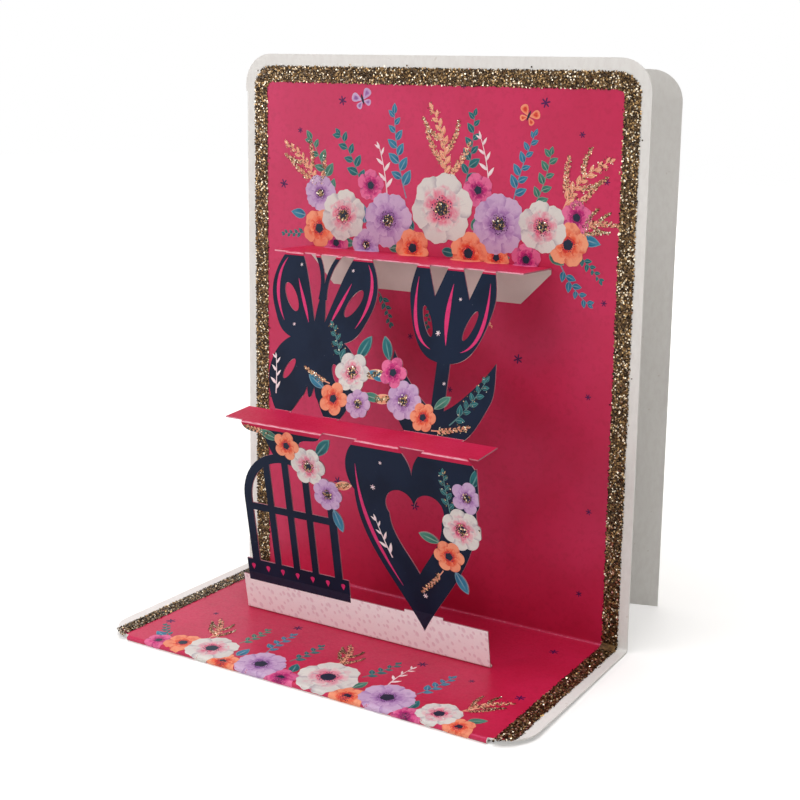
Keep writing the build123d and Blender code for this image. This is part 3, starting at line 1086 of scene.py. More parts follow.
class Ink(Enum):
    """Inks and flakes of the print, each with its finish."""

    CREAM = petals_of("cream", (226, 78, 118), (234, 158, 174), (226, 222, 216), (174, 162, 172))
    LILAC = petals_of("lilac", (136, 84, 150), (186, 142, 192), (208, 178, 210), (158, 112, 174))
    CORAL = petals_of("coral", (206, 42, 44), (238, 106, 68), (246, 162, 126), (212, 72, 56))
    MAGENTA = petals_of("magenta", (148, 14, 92), (206, 38, 122), (232, 112, 158), (154, 18, 98))
    TEAL = LeafInk("teal_leaf", Tone(6, 56, 66), Tone(24, 102, 108), Tone(120, 164, 162))
    BLUE = LeafInk("blue_leaf", Tone(18, 70, 112), Tone(50, 126, 156), Tone(146, 178, 192))
    SAGE = LeafInk("sage_leaf", Tone(20, 76, 66), Tone(66, 124, 108), Tone(154, 180, 166))
    GRAIN = LeafInk("gold_grain", Tone(208, 104, 78), Tone(246, 176, 142), Tone(255, 212, 186), 0.3)
    SNOW = LeafInk(
        "white_spray", Tone(226, 186, 198), Tone(244, 228, 230), Tone(250, 242, 242), 0.2
    )
    PLUM = SolidInk("plum_star", Tone(72, 14, 78), Tone(50, 12, 62))
    NAVY = SolidInk("navy_mark", Tone(21, 33, 55), Tone(15, 25, 45))
    ROSE = SolidInk("rose_line", Tone(214, 48, 112), Tone(202, 38, 98))
    # Glitter inks: painted shade, bronze, gold and a painted glint
    GOLD = GlitterFlake(
        "gold_glitter",
        Tone(34, 22, 11),
        Tone(106, 79, 47),
        Tone(186, 151, 100),
        Tone(255, 242, 216),
    )
    SILVER = GlitterFlake(
        "pale_glitter",
        Tone(70, 50, 36),
        Tone(160, 126, 88),
        Tone(226, 194, 150),
        Tone(255, 248, 230),
    )
    GLUE = GlueBed()


class InkRack(dict[Ink, bpy.types.Material]):
    """The inks' materials, each made the first time that it is asked for."""

    def __missing__(self, ink: Ink) -> bpy.types.Material:
        """Make the material of an ink and keep it."""
        self[ink] = ink.value.make()
        return self[ink]


# Print shapes


@dataclass(frozen=True)
class Stencil:
    """A flat shape that every ray from its hub leaves once, listed counter-clockwise.

    side_scale turns a height into the leaf's -1 to 1 across. The shaders' reach is the share of
    the way from the hub to the outline or, where radial is set, the distance from the origin.
    """

    outline: Array
    hub: Array
    side_scale: float = 1.0
    radial: bool = False


def round_shape(reach: Array) -> Stencil:
    """Shape round the origin, from its distance at even angles."""
    angle = np.arange(len(reach)) * TAU / len(reach)
    return Stencil(reach[:, None] * ray(angle), np.zeros(2))


def lobed(
    petals: int, offset: float, least: float = 0.0, ripple: float = 0.0, per_petal: int = 12
) -> Stencil:
    """Flower of radius 1 with round petals.

    At an angle a from the nearest petal's axis, the outline's distance is the far side of that
    petal's lobe, d cos a + sqrt((1 - d)^2 - d^2 sin^2 a), and nowhere less than a middle disc.
    To it can be added a ripple of about three waves a petal, with a slower one of two waves.

    Args:
        petals: number of petals.
        offset: how far out the middle d of each lobe stands.
        least: radius of the middle disc.
        ripple: height of the ripple.
        per_petal: points of the outline for each petal.

    Returns:
        The stencil.
    """
    turn = np.arange(petals * per_petal) * TAU / (petals * per_petal)
    pitch = TAU / petals
    off = (turn + pitch / 2) % pitch - pitch / 2
    inside = np.clip((1 - offset) ** 2 - (offset * np.sin(off)) ** 2, 0, None)
    reach = np.maximum(offset * np.cos(off) + np.sqrt(inside), least)
    reach += ripple * (np.sin((3 * petals + 1) * turn) + 0.8 * np.cos(2 * turn + petals))
    return round_shape(reach)


def cut_flower(petals: int) -> Stencil:
    """The flower that the die cuts: lobes of radius 0.42 and a middle of radius 0.66."""
    return lobed(petals, 0.58, 0.66)


def ruffled(petals: int, per_petal: int = 14) -> Stencil:
    """Broad-petalled flower with a slightly wavy rim."""
    return lobed(petals, 0.48, ripple=0.02, per_petal=per_petal)


def star(arms: int) -> Stencil:
    """Small star of radius 1 whose arms are round: distance 0.24 + 0.76 cos^2(n a / 2)."""
    turn = np.arange(arms * 6) * TAU / (arms * 6)
    return round_shape(0.24 + 0.76 * np.cos(turn * arms / 2) ** 2)


def disc(count: int) -> Stencil:
    """Circle of radius 1."""
    return round_shape(np.ones(count))


def leaf_shape(x: Array, rise: Array, half_width: float) -> Stencil:
    """Leaf of length 1 from the origin along the first axis, from half its outline."""
    outline = np.concatenate([np.stack([x, -rise], -1)[:-1], np.stack([x, rise], -1)[:0:-1]])
    return Stencil(outline, np.array([0.45, 0.0]), 1 / half_width)


def lens(half_width: float, half_count: int = 9) -> Stencil:
    """Leaf pointed at both ends.

    Each edge is an arc of radius R = (1/4 + h^2) / 2h through the two tips, h from the middle.

    Args:
        half_width: h, the greatest distance of an edge from the middle line.
        half_count: points of each edge.

    Returns:
        The stencil.
    """
    x = np.linspace(0, 1, half_count)
    radius = (0.25 + half_width**2) / (2 * half_width)
    return leaf_shape(x, np.sqrt(radius**2 - (x - 0.5) ** 2) - (radius - half_width), half_width)


def ovate(half_width: float, half_count: int = 8) -> Stencil:
    """Leaf that is widest two fifths of the way out: y = h (x / 0.4)^0.7 ((1 - x) / 0.6)^1.05."""
    x = (1 - np.cos(np.linspace(0, math.pi, half_count))) / 2
    return leaf_shape(x, half_width * (x / 0.4) ** 0.7 * ((1 - x) / 0.6) ** 1.05, half_width)


def drop(count: int = 14, slim: float = 0.36) -> Stencil:
    """Drop of length 1 with its point at the origin.

    At an angle t, x = (1 - cos t) / 2 and y = -1.3 s sin t sin^2(t / 2).

    Args:
        count: points of the outline.
        slim: s, about half the drop's width.

    Returns:
        The stencil.
    """
    turn = np.arange(count) * TAU / count
    x = (1 - np.cos(turn)) / 2
    y = -slim * 1.3 * np.sin(turn) * np.sin(turn / 2) ** 2
    return Stencil(np.stack([x, y], -1), np.array([0.62, 0.0]), 1 / slim)


def press(
    stencil: Stencil,
    face: Section,
    at: Array,
    size: Array,
    turn: Array,
    lift: Array,
    seed: Array,
    crease: float = -math.inf,
    within: tuple[float, float] = (1.0, 0.0),
    rings: int = 1,
    edge: float = 0.05,
) -> Shell | None:
    """Stamp one shape many times on a face, each a thin closed prism.

    A point of a stamp is its place plus size times the outline, turned by its angle. What would
    pass the crease or the side of the sheet is cut off there along its ray from the hub.

    Args:
        stencil: the shape.
        face: the printed side.
        at: places as (across, along), of shape (stamps, 2).
        size: size of each stamp.
        turn: angle of each stamp, in radians.
        lift: height of each stamp's top off the face.
        seed: a number from 0 to 1 for each stamp's colour.
        crease: along of a crease with the printed side above it.
        within: for the shaders, the share of a flower that the shape fills, and its petals.
        rings: rings of faces in each top, more than one where the face bends.
        edge: least distance of a hub from the crease and from the sides.

    Returns:
        The shell of all the stamps, or None where none has its hub on the sheet.
    """
    cos, sin = np.cos(turn), np.sin(turn)
    hub = at + size[:, None] * turned(*stencil.hub, cos, sin)
    on = (hub[:, 1] > crease + edge) & (np.abs(hub[:, 0]) < face.half - edge)
    if not on.any():
        return None
    hub, size, cos, sin, lift, seed = (values[on] for values in (hub, size, cos, sin, lift, seed))

    # The share of each arm from the hub that stays on the sheet
    count = len(stencil.outline)
    arm = stencil.outline - stencil.hub
    reach = size[:, None, None] * turned(*arm.T, cos[:, None], sin[:, None])
    reach_x, reach_s = reach[..., 0], reach[..., 1]
    tiny = 1e-9
    room = np.where(reach_s < 0, (hub[:, 1:] - crease) / np.maximum(-reach_s, tiny), math.inf)
    side = (face.half - np.sign(reach_x) * hub[:, :1]) / np.maximum(np.abs(reach_x), tiny)
    keep = np.minimum(1.0, np.minimum(room, side))

    # A stamp's points: the hub, the rings of the top, the foot's ring and the foot's middle
    rounds = np.repeat(np.arange(1, rings + 1) / rings, count)
    share = np.concatenate([[0.0], rounds, np.ones(count), [0.0]])
    level = np.concatenate([np.ones(1 + rings * count), np.zeros(count + 1)])
    which = np.concatenate([[0], np.tile(np.arange(count), rings + 1), [0]])
    part = share * keep[:, which]
    across = hub[:, :1] + part * reach_x[:, which]
    along = hub[:, 1:] + part * reach_s[:, which]
    points = face.at(across, along, lift[:, None] * level)

    ring = np.arange(count)
    after = (ring + 1) % count
    firsts = 1 + count * np.arange(rings + 1)
    fan = np.stack([np.zeros(count, int), 1 + ring, 1 + after], -1)
    bands = [
        np.stack([inner + ring, outer + ring, outer + after, inner + after], -1)
        for inner, outer in zip(firsts, firsts[1:])
    ]
    foot = firsts[-1]
    base = np.stack([np.full(count, foot + count), foot + after, foot + ring], -1)
    faces = repeated([fan, *bands, base], len(hub), len(share))

    x, y = (stencil.hub + part[..., None] * arm[which]).transpose(2, 0, 1)
    spread = np.hypot(x, y) if stencil.radial else part
    mark = within[0] * np.stack([x, y * stencil.side_scale, spread], -1)
    seeds = np.broadcast_to(seed[:, None], part.shape)
    tone = np.stack([seeds, np.full(part.shape, within[1]), np.zeros(part.shape)], -1)
    return Shell.of(points, faces, mark, tone)


def ribbon(face: Section, path: Array, width: Array, lift: float) -> Shell:
    """Thin closed strip along a path on a face.

    Each edge is the path moved by half the width at right angles to it.

    Args:
        face: the printed side.
        path: places as (across, along), of shape (points, 2).
        width: width at each point.
        lift: height of the strip's top off the face.

    Returns:
        The shell.
    """
    aside = right_of(path) * width[:, None] / 2
    edges = np.stack([path - aside, path, path + aside], 1)
    return coat(face, edges[..., 0], edges[..., 1], lift)


@dataclass(frozen=True)
class FlakeStock:
    """Size and lie of the glitter flakes."""

    radius: tuple[float, float] = (0.17, 0.30)
    depth: float = 0.12
    tilt: float = math.radians(21)
    most_tilt: float = 1.1
    corners: int = 6

    def strew(self, face: Section, at: Array, lift: Array, rng: np.random.Generator) -> Shell:
        """Drop a flake at each place.

        A flake is a hexagon square to a tilted normal, closed by a point in the glue below it:
        its rim is centre + r (cos a e1 + sin a e2), where e1 and e2 span the hexagon.

        Args:
            face: the face that the flakes lie on.
            at: places as (across, along), of shape (flakes, 2).
            lift: height of each flake's middle.
            rng: source of the random draws.

        Returns:
            The shell of all the flakes.
        """
        count = len(at)
        centre = face.at(at[:, 0], at[:, 1], lift)
        out = face.normal(at[:, 1])
        side = np.broadcast_to([1.0, 0.0, 0.0], out.shape)
        up = np.cross(out, side)
        heading = rng.uniform(0, TAU, count)[:, None]
        lean = np.tan(np.abs(rng.normal(0, self.tilt, count)).clip(0, self.most_tilt))[:, None]
        normal = out + lean * (np.cos(heading) * side + np.sin(heading) * up)
        normal /= np.linalg.norm(normal, axis=1, keepdims=True)
        first = np.cross(normal, up)
        first /= np.linalg.norm(first, axis=1, keepdims=True)
        second = np.cross(normal, first)

        corner = np.arange(self.corners) * TAU / self.corners
        spoke = ray(rng.uniform(0, TAU, count)[:, None] + corner)
        radius = rng.uniform(*self.radius, count)[:, None, None]
        rim = spoke[..., :1] * first[:, None] + spoke[..., 1:] * second[:, None]
        root = (centre - self.depth * out)[:, None]
        points = np.concatenate([centre[:, None] + radius * rim, root], 1)
        ring = np.arange(self.corners)
        sides = np.stack([(ring + 1) % self.corners, ring, np.full(self.corners, self.corners)], -1)
        faces = repeated([ring[None], sides], count, self.corners + 1)
        # Each flake's brightness is painted light: a random share between painted shade and painted
        # glint
        bright, hue = rng.uniform(0, 1, count), rng.uniform(0, 1, count)
        tone = np.stack([bright, hue, np.zeros(count)], -1)[:, None]
        return Shell.of(points, faces, None, tone.repeat(self.corners + 1, 1))


class Habit(Enum):
    """How a sprig grows: leaf half-width, spread in degrees, leaf share of the length, pairs."""

    FERN = (0.30, 47.0, 0.235, 4)
    FROND = (0.29, 45.0, 0.185, 5)
    GRAIN = (0.27, 34.0, 0.14, 7)
    SPRAY = (0.15, 42.0, 0.27, 3)


@dataclass(frozen=True)
class Bloom:
    """A printed flower at a place on a face."""

    across: float
    along: float
    radius: float
    petals: int
    ink: Ink


@dataclass(frozen=True)
class Sprig:
    """A printed sprig from a place on a face, heading and bending by degrees."""

    across: float
    along: float
    heading: float
    length: float
    bend: float
    kind: Habit
    ink: Ink


@dataclass(frozen=True)
class Leaf:
    """A single printed leaf from a place on a face."""

    across: float
    along: float
    length: float
    heading: float
    ink: Ink


Motif = Bloom | Sprig | Leaf


def moved(motif: Motif, across: float, along: float) -> Motif:
    """The flower, sprig or leaf, moved over the face."""
    return replace(motif, across=motif.across + across, along=motif.along + along)


@dataclass
class Posy:
    """Printed shapes on one piece of card, gathered in printing order into one piece.

    layer is the height that the ink has reached, and no stamp has an edge longer than fine.
    """

    name: str
    face: Section
    slot: str
    seed: int
    crease: float = -math.inf
    die_cut: bool = False
    fine: float = math.inf
    layer: float = 0.075
    sprigs: int = 0
    shells: list[Shell] = field(default_factory=list)
    inks: list[Ink] = field(default_factory=list)

    LAYER_STEP = 0.0012
    UNDER = 0.03
    UNDER_STEP = 0.005
    UNDER_TURNS = 8
    WHORLS = ((1.0, 1.0, 14, 0.0), (0.62, 0.66, 10, 1.0), (0.38, 0.36, 8, 0.5))
    STEM = (0.36, 0.15)
    STEM_STEPS = 24
    PLUME_SPREAD = 48
    PLUME_BEND = 34

    def __post_init__(self) -> None:
        """Open the source of the random draws."""
        self.rng = np.random.default_rng(self.seed)

    def keep(self, shell: Shell | None, ink: Ink) -> None:
        """Add a shell, if there is one.

        Args:
            shell: what was printed.
            ink: its ink, which gets the next material number if it is new.
        """
        if shell is None:
            return
        if ink not in self.inks:
            self.inks.append(ink)
        self.shells.append(shell.inked(self.inks.index(ink)))

    def stamp(
        self,
        stencil: Stencil,
        at: Array,
        size: Array | float,
        turn: Array | float,
        ink: Ink,
        lift: Array | float,
        within: tuple[float, float] = (1.0, 0.0),
    ) -> None:
        """Stamp a shape at several places, with size, turn and lift one number or one each.

        Args:
            stencil: the shape.
            at: the places, as (across, along).
            size: size of the stamps.
            turn: their angle, in radians.
            ink: their ink.
            lift: height of their tops.
            within: the share of a flower that the shape fills, and its petals.
        """
        at = np.asarray(at, float).reshape(-1, 2)
        shares = (np.asarray(values, float) for values in (size, turn, lift))
        size, turn, lift = (np.broadcast_to(values, len(at)) for values in shares)
        seed = self.rng.uniform(0, 1, len(at))
        rings = max(1, math.ceil(float(size.max()) / self.fine))
        stamps = press(
            stencil, self.face, at, size, turn, lift, seed, self.crease, within, rings
        )
        self.keep(stamps, ink)

    def _rise(self) -> float:
        """Height for the next layer of ink."""
        self.layer += self.LAYER_STEP
        return self.layer

    def _under(self) -> float:
        """Height for the next sprig, of eight that are used by turns."""
        self.sprigs += 1
        return self.UNDER + self.UNDER_STEP * (self.sprigs % self.UNDER_TURNS)

    def bloom(self, flower: Bloom, glittered: bool) -> None:
        """Print a flower: its petals, two inner whorls, a ring of stamens and an eye.

        A whorl is a share of the flower's size, the share that the shaders take it for, the
        points of a petal's outline, and how far it is turned, in halves of a petal.

        Args:
            flower: the flower.
            glittered: whether the eye of a pale flower is strewn with glitter.
        """
        at = np.array([flower.across, flower.along])
        count, radius = flower.petals, flower.radius
        turn = 0.0 if self.die_cut else 1.7 * radius
        for share, shown, points, lean in self.WHORLS:
            outermost = share == 1.0
            shape = cut_flower(count) if outermost and self.die_cut else ruffled(count, points)
            angle = turn + lean * math.pi / count
            self.stamp(shape, at, radius * share, angle, flower.ink, self._rise(), (shown, count))
        ring = np.arange(count * 4) * TAU / (count * 4) + turn
        reach = radius * (0.28 + 0.05 * np.cos(ring * 5 + radius))
        stamens = at + reach[:, None] * ray(ring)
        self.stamp(disc(5), stamens, radius * 0.026, 0.0, Ink.PLUM, self._rise())
        bright = glittered and flower.ink in (Ink.CREAM, Ink.LILAC)
        eye = radius * (0.21 if bright else 0.25)
        self.stamp(ruffled(5, 5), at, eye, turn, Ink.NAVY, self.layer)
        if bright:
            self.sprinkle(at, radius * (0.30 if self.die_cut else 0.24), int(10 + radius * 7))

    def carry(self, flower: Bloom) -> None:
        """Print what of a flower comes over the crease, with its centre behind it.

        The flower is turned half round, as the face past the crease is laid out from the other
        side. The hub of each whorl is moved to just past the crease, turned back by its angle.

        Args:
            flower: the flower.
        """
        at = np.array([flower.across, flower.along])
        count = flower.petals
        for share, shown, points, lean in self.WHORLS[:2]:
            size = flower.radius * share
            angle = 1.7 * flower.radius + math.pi + lean * math.pi / count
            start = (self.crease - flower.along + 0.1) / size
            if start < 0.9:
                hub = start * ray(angle)[::-1]
                shape = replace(ruffled(count, points), hub=hub, radial=True)
                self.stamp(shape, at, size, angle, flower.ink, self._rise(), (shown, count))

    def sprinkle(
        self, middle: Array, radius: float, count: int, flake: tuple[float, float] = (0.14, 0.26)
    ) -> None:
        """Strew pale glitter over a round spot, evenly by area.

        Args:
            middle: middle of the spot.
            radius: its radius.
            count: number of flakes, before those that miss the sheet are left out.
            flake: least and greatest radius of a flake.
        """
        turn = self.rng.uniform(0, TAU, count)
        reach = radius * np.sqrt(self.rng.uniform(0, 1, count))
        spots = np.asarray(middle) + reach[:, None] * ray(turn)
        lift = self.layer + self.rng.uniform(0.04, 0.10, count)
        past_crease = spots[:, 1] > self.crease + 0.2
        spots = spots[past_crease & (np.abs(spots[:, 0]) < self.face.half - 0.2)]
        if len(spots):
            stock = FlakeStock(radius=flake, depth=0.05)
            self.keep(stock.strew(self.face, spots, lift[: len(spots)], self.rng), Ink.SILVER)

    def leaf(self, leaf: Leaf) -> None:
        """Print a single leaf.

        Args:
            leaf: the leaf.
        """
        at = np.array([leaf.across, leaf.along])
        shape = lens(0.21) if self.die_cut else ovate(0.28)
        self.stamp(shape, at, leaf.length, math.radians(leaf.heading), leaf.ink, self._rise())

    def sprig(self, sprig: Sprig, glittered: bool = False) -> None:
        """Print a sprig.

        The stem heads off at an angle that grows evenly by the bend, and its points are the
        running sum of that direction. Paired leaves stand off it and shrink towards the tip.

        Args:
            sprig: the sprig.
            glittered: whether its leaves are strewn with glitter.
        """
        half_width, spread, share, pairs = sprig.kind.value
        stations = np.linspace(0, 1, self.STEM_STEPS)
        angle = np.radians(sprig.heading + sprig.bend * stations)
        run = sprig.length / (self.STEM_STEPS - 1) * ray(angle)
        steps = np.concatenate([np.zeros((1, 2)), np.cumsum(run[:-1], 0)])
        path = np.array([sprig.across, sprig.along]) + steps
        lift = self._under()
        self.keep(ribbon(self.face, path, np.linspace(*self.STEM, len(path)), lift), sprig.ink)

        sign = np.tile([1.0, -1.0], pairs)
        node = np.repeat(np.linspace(0.2, 0.92, pairs), 2) + sign * 0.22 / pairs
        node = np.append(np.clip(node, 0, 1), 1.0)
        where = read_rows(node, stations, path)
        lie = np.interp(node, stations, angle) + np.append(sign, 0.0) * math.radians(spread)
        lie += self.rng.normal(0, 0.09, len(node))
        size = sprig.length * share * (1.08 - 0.42 * node)
        size *= self.rng.uniform(0.85, 1.15, len(node))
        heights = lift + 0.001 * (1 + np.arange(len(node)) % 4)
        self.stamp(ovate(half_width), where, size, lie, sprig.ink, heights)
        if glittered:
            flakes = 7 if sprig.ink is Ink.GRAIN else 4
            for hub, reach in zip(where + 0.5 * size[:, None] * ray(lie), size):
                self.sprinkle(hub, reach * 0.55, flakes, (0.09, 0.2))

    def plume(self, sprig: Sprig, glittered: bool = False, branches: int = 4) -> None:
        """Print a branched sprig: its own stem, with shorter sprigs that leave it by turns.

        Args:
            sprig: the stem.
            glittered: whether the leaves are strewn with glitter.
            branches: number of shorter sprigs.
        """
        self.sprig(sprig, glittered)
        for number in range(branches):
            share = 0.1 + 0.6 * number / branches
            side = 1 if number % 2 else -1
            out = sprig.length * share * ray(math.radians(sprig.heading + sprig.bend * share / 2))
            branch = replace(
                moved(sprig, *out.tolist()),
                heading=sprig.heading + sprig.bend * share + side * self.PLUME_SPREAD,
                length=sprig.length * (0.6 - 0.34 * share),
                bend=-side * self.PLUME_BEND,
            )
            self.sprig(branch, glittered)

    def stars(self, places: tuple, ink: Ink, radius: float = 1.5) -> None:
        """Print tiny six-armed stars of two sizes.

        Args:
            places: their places, as (across, along).
            ink: their ink.
            radius: radius of the larger ones.
        """
        turn = self.rng.uniform(0, TAU, len(places))
        size = radius * self.rng.choice([0.65, 1.0], len(places))
        self.stamp(star(6), np.array(places), size, turn, ink, self.UNDER - 0.003)

    def curve(self, ends: Array, width: float, ink: Ink) -> None:
        """Print a line that swells from nothing to its width and back.

        It follows a cubic Bezier, a (1-t)^3 + 3 b t (1-t)^2 + 3 c t^2 (1-t) + d t^3.

        Args:
            ends: its four points, as (across, along).
            width: its width in the middle.
            ink: its ink.
        """
        t = np.linspace(0, 1, 24)[:, None]
        a, b, c, d = ends
        path = a * (1 - t) ** 3 + 3 * b * t * (1 - t) ** 2 + 3 * c * t**2 * (1 - t) + d * t**3
        swell = 0.06 + width * np.sin(math.pi * t[:, 0])
        self.keep(ribbon(self.face, path, swell, self.UNDER), ink)

    def butterfly(
        self, across: float, along: float, span: float, heading: float, ink: Ink
    ) -> None:
        """Print a small butterfly: two pairs of drop-shaped wings and a slim body.

        Args:
            across: place of its middle across the sheet.
            along: place of its middle along it.
            span: its size.
            heading: its lean, in degrees.
            ink: ink of the wings.
        """
        lean = math.radians(heading)
        at = np.tile([[across, along]], (4, 1))
        turn = np.radians([38, 142, -34, 214]) + lean
        size = span * np.array([0.56, 0.56, 0.40, 0.40])
        self.stamp(drop(16, 0.40), at, size, turn, ink, self.UNDER + 0.001 * np.arange(4))
        tail = at[0] + span * 0.2 * np.array([math.sin(lean), -math.cos(lean)])
        upright = lean + math.pi / 2
        self.stamp(lens(0.11, 6), tail, span * 0.5, upright, Ink.NAVY, self.UNDER + 0.006)

    def finish(self, rack: InkRack) -> bpy.types.Object:
        """Make the object, with one material slot an ink."""
        materials = [rack[ink] for ink in self.inks]
        return make_piece(self.name, Shell.merge(self.shells), materials)


def make_piece(
    name: str, shell: Shell, materials: list[bpy.types.Material]
) -> bpy.types.Object:
    """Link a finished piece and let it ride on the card.

    Args:
        name: name of the object.
        shell: its mesh.
        materials: its material slots.

    Returns:
        The object.
    """
    piece = bpy.data.objects.new(name, shell.mesh(name))
    for material in materials:
        piece.data.materials.append(material)
    bpy.context.scene.collection.objects.link(piece)
    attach(piece, BODY)
    LOG.info("%s: %d points, %d faces", name, len(shell.points), len(shell.counts))
    return piece


# Sub-assemblies


@dataclass
class CoverPrint:
    """Rose field and glitter border on the inner face of the cover."""

    shape: CoverShape
    rack: InkRack
    side_margin: float = 2.9
    top_margin: float = 3.5
    band: float = 4.6
    corner: float = 3.9
    left_inset: float = 0.5
    front_gap: float = 0.3
    field_lift: float = 0.012
    bed_lift: float = 0.05
    bed_inset: float = 0.15
    flake_inset: float = 0.1
    pitch: float = 0.36
    jitter: float = 0.55
    strays: float = 0.02
    base_clearance: float = 0.7
    seed: int = 7

    @property
    def side(self) -> float:
        """Middle line of the border up the right side."""
        return self.shape.right - self.side_margin - self.band / 2

    @property
    def head(self) -> float:
        """Middle line of the border over the top."""
        return self.shape.top - self.top_margin - self.band / 2

    def build(self) -> list[bpy.types.Object]:
        """Make the field and the border."""
        face = self.shape.section()
        return [self._field(face), *self._border(face)]

    def _field(self, face: Section) -> bpy.types.Object:
        """Thin sheet under the border's middle line, narrower where it rounds the lip.

        Args:
            face: the printed side of the cover.

        Returns:
            The object.
        """
        shape = self.shape
        lip_end = shape.lip_height - shape.reach + 1
        rows = [lip_end, lip_end + 2, -30.0, 30.0, 80.0, self.head]
        along = np.unique(np.concatenate([face.along[:-1], rows]))
        along = along[along <= self.head]
        half = np.where(along < lip_end, shape.right - shape.corner_radius - 0.1, self.side)
        across = half[:, None] * np.linspace(-1, 1, 9)
        sheet = coat(face, across, np.broadcast_to(along[:, None], across.shape), self.field_lift)
        bend = 0.35
        fold = (shape.face - bend, shape.base_middle(shape.face) + shape.board / 2 + bend)
        return make_piece("rose_field", sheet, [RoseField(fold).make()])

    def _route(self) -> tuple[Array, Array]:
        """Middle line of the border, up the left side, over the top and down the right.

        Returns:
            Places as (across, along), and the distance run at each.
        """
        left_side = self.left_inset - self.side
        bow = self.corner * ray(np.linspace(0, math.pi / 2, 12))
        shoulder = self.head - self.corner
        left = np.stack([left_side + self.corner - bow[:, 0], shoulder + bow[:, 1]], -1)
        right = np.stack([self.side - self.corner + bow[:, 1], shoulder + bow[:, 0]], -1)
        legs = np.linspace(self.front_gap - self.shape.reach, shoulder, 60)[:-1]
        up = np.stack([np.full(len(legs), left_side), legs], -1)
        down = np.stack([np.full(len(legs), self.side), legs[::-1]], -1)
        route = np.concatenate([up, left, right, down])
        return route, distance_run(route)

    def _on_board(self, places: Array) -> Array:
        """Find what clears the rounded front corners of the base.

        Args:
            places: places as (across, along).

        Returns:
            Whether each is on the board.
        """
        radius = self.shape.corner_radius
        past_x = np.clip(np.abs(places[:, 0]) - (self.shape.right - radius), 0, None)
        past_s = np.clip(radius - self.shape.reach - places[:, 1], 0, None)
        return np.hypot(past_x, past_s) < radius - self.base_clearance

    def _border(self, face: Section) -> list[bpy.types.Object]:
        """Glue bed and flakes, the flakes on a jittered grid that follows the route.

        Args:
            face: the printed side of the cover.

        Returns:
            The glue, the flakes on the upright and the flakes on the base.
        """
        route, run = self._route()
        rng = np.random.default_rng(self.seed)
        aside = right_of(route)
        offsets = np.linspace(-0.5, 0.5, 5) * (self.band - 2 * self.bed_inset)
        places = route[:, None] + offsets[:, None] * aside[:, None]
        edges = (route + aside * half for half in (self.band / 2, -self.band / 2))
        places = places[np.logical_and(*map(self._on_board, edges))]
        bed = coat(face, places[..., 0], places[..., 1], self.bed_lift)
        pieces = [make_piece("border_glue", bed, [self.rack[Ink.GLUE]])]

        rows = int(run[-1] / self.pitch)
        columns = int(self.band / self.pitch) + 1
        grid = np.zeros((rows, columns))
        far = grid + (np.arange(rows) + 0.5)[:, None] * self.pitch
        off = grid + np.linspace(-0.5, 0.5, columns) * (self.band - 2 * self.flake_inset)
        far, off = (
            (line + rng.uniform(-self.jitter, self.jitter, grid.shape) * self.pitch).ravel()
            for line in (far, off)
        )
        strays = rng.uniform(0, 1, off.shape) < self.strays
        off = np.where(strays, off * rng.uniform(1.0, 1.35, off.shape), off)
        at = read_rows(far, run, route) + off[:, None] * read_rows(far, run, aside)
        at = at[self._on_board(at)]
        lift = self.bed_lift + rng.uniform(0.04, 0.16, len(at))
        upright = at[:, 1] > 0
        for name, part in (("upright_glitter", upright), ("base_glitter", ~upright)):
            flakes = FlakeStock().strew(face, at[part], lift[part], rng)
            pieces.append(make_piece(name, flakes, [self.rack[Ink.GOLD]]))
        return pieces


@dataclass(frozen=True)
class Bed:
    """Flowers and greenery that are printed together, in the order plumes to blooms."""

    plumes: tuple[Sprig, ...]
    sprigs: tuple[Sprig, ...]
    leaves: tuple[Leaf, ...]
    blooms: tuple[Bloom, ...]

    def plant(self, posy: Posy, height: float, crease: float, glittered: bool) -> None:
        """Print the bed.

        Args:
            posy: what it is printed in.
            height: how far up the face it stands.
            crease: where the leaves and the blooms are cut off.
            glittered: whether the eyes of the pale blooms glitter.
        """
        for plume in self.plumes:
            posy.plume(moved(plume, 0.0, height), True)
        for sprig in self.sprigs:
            posy.sprig(moved(sprig, 0.0, height))
        posy.crease = crease
        for leaf in self.leaves:
            posy.leaf(moved(leaf, 0.0, height))
        for bloom in self.blooms:
            posy.bloom(moved(bloom, 0.0, height), glittered)


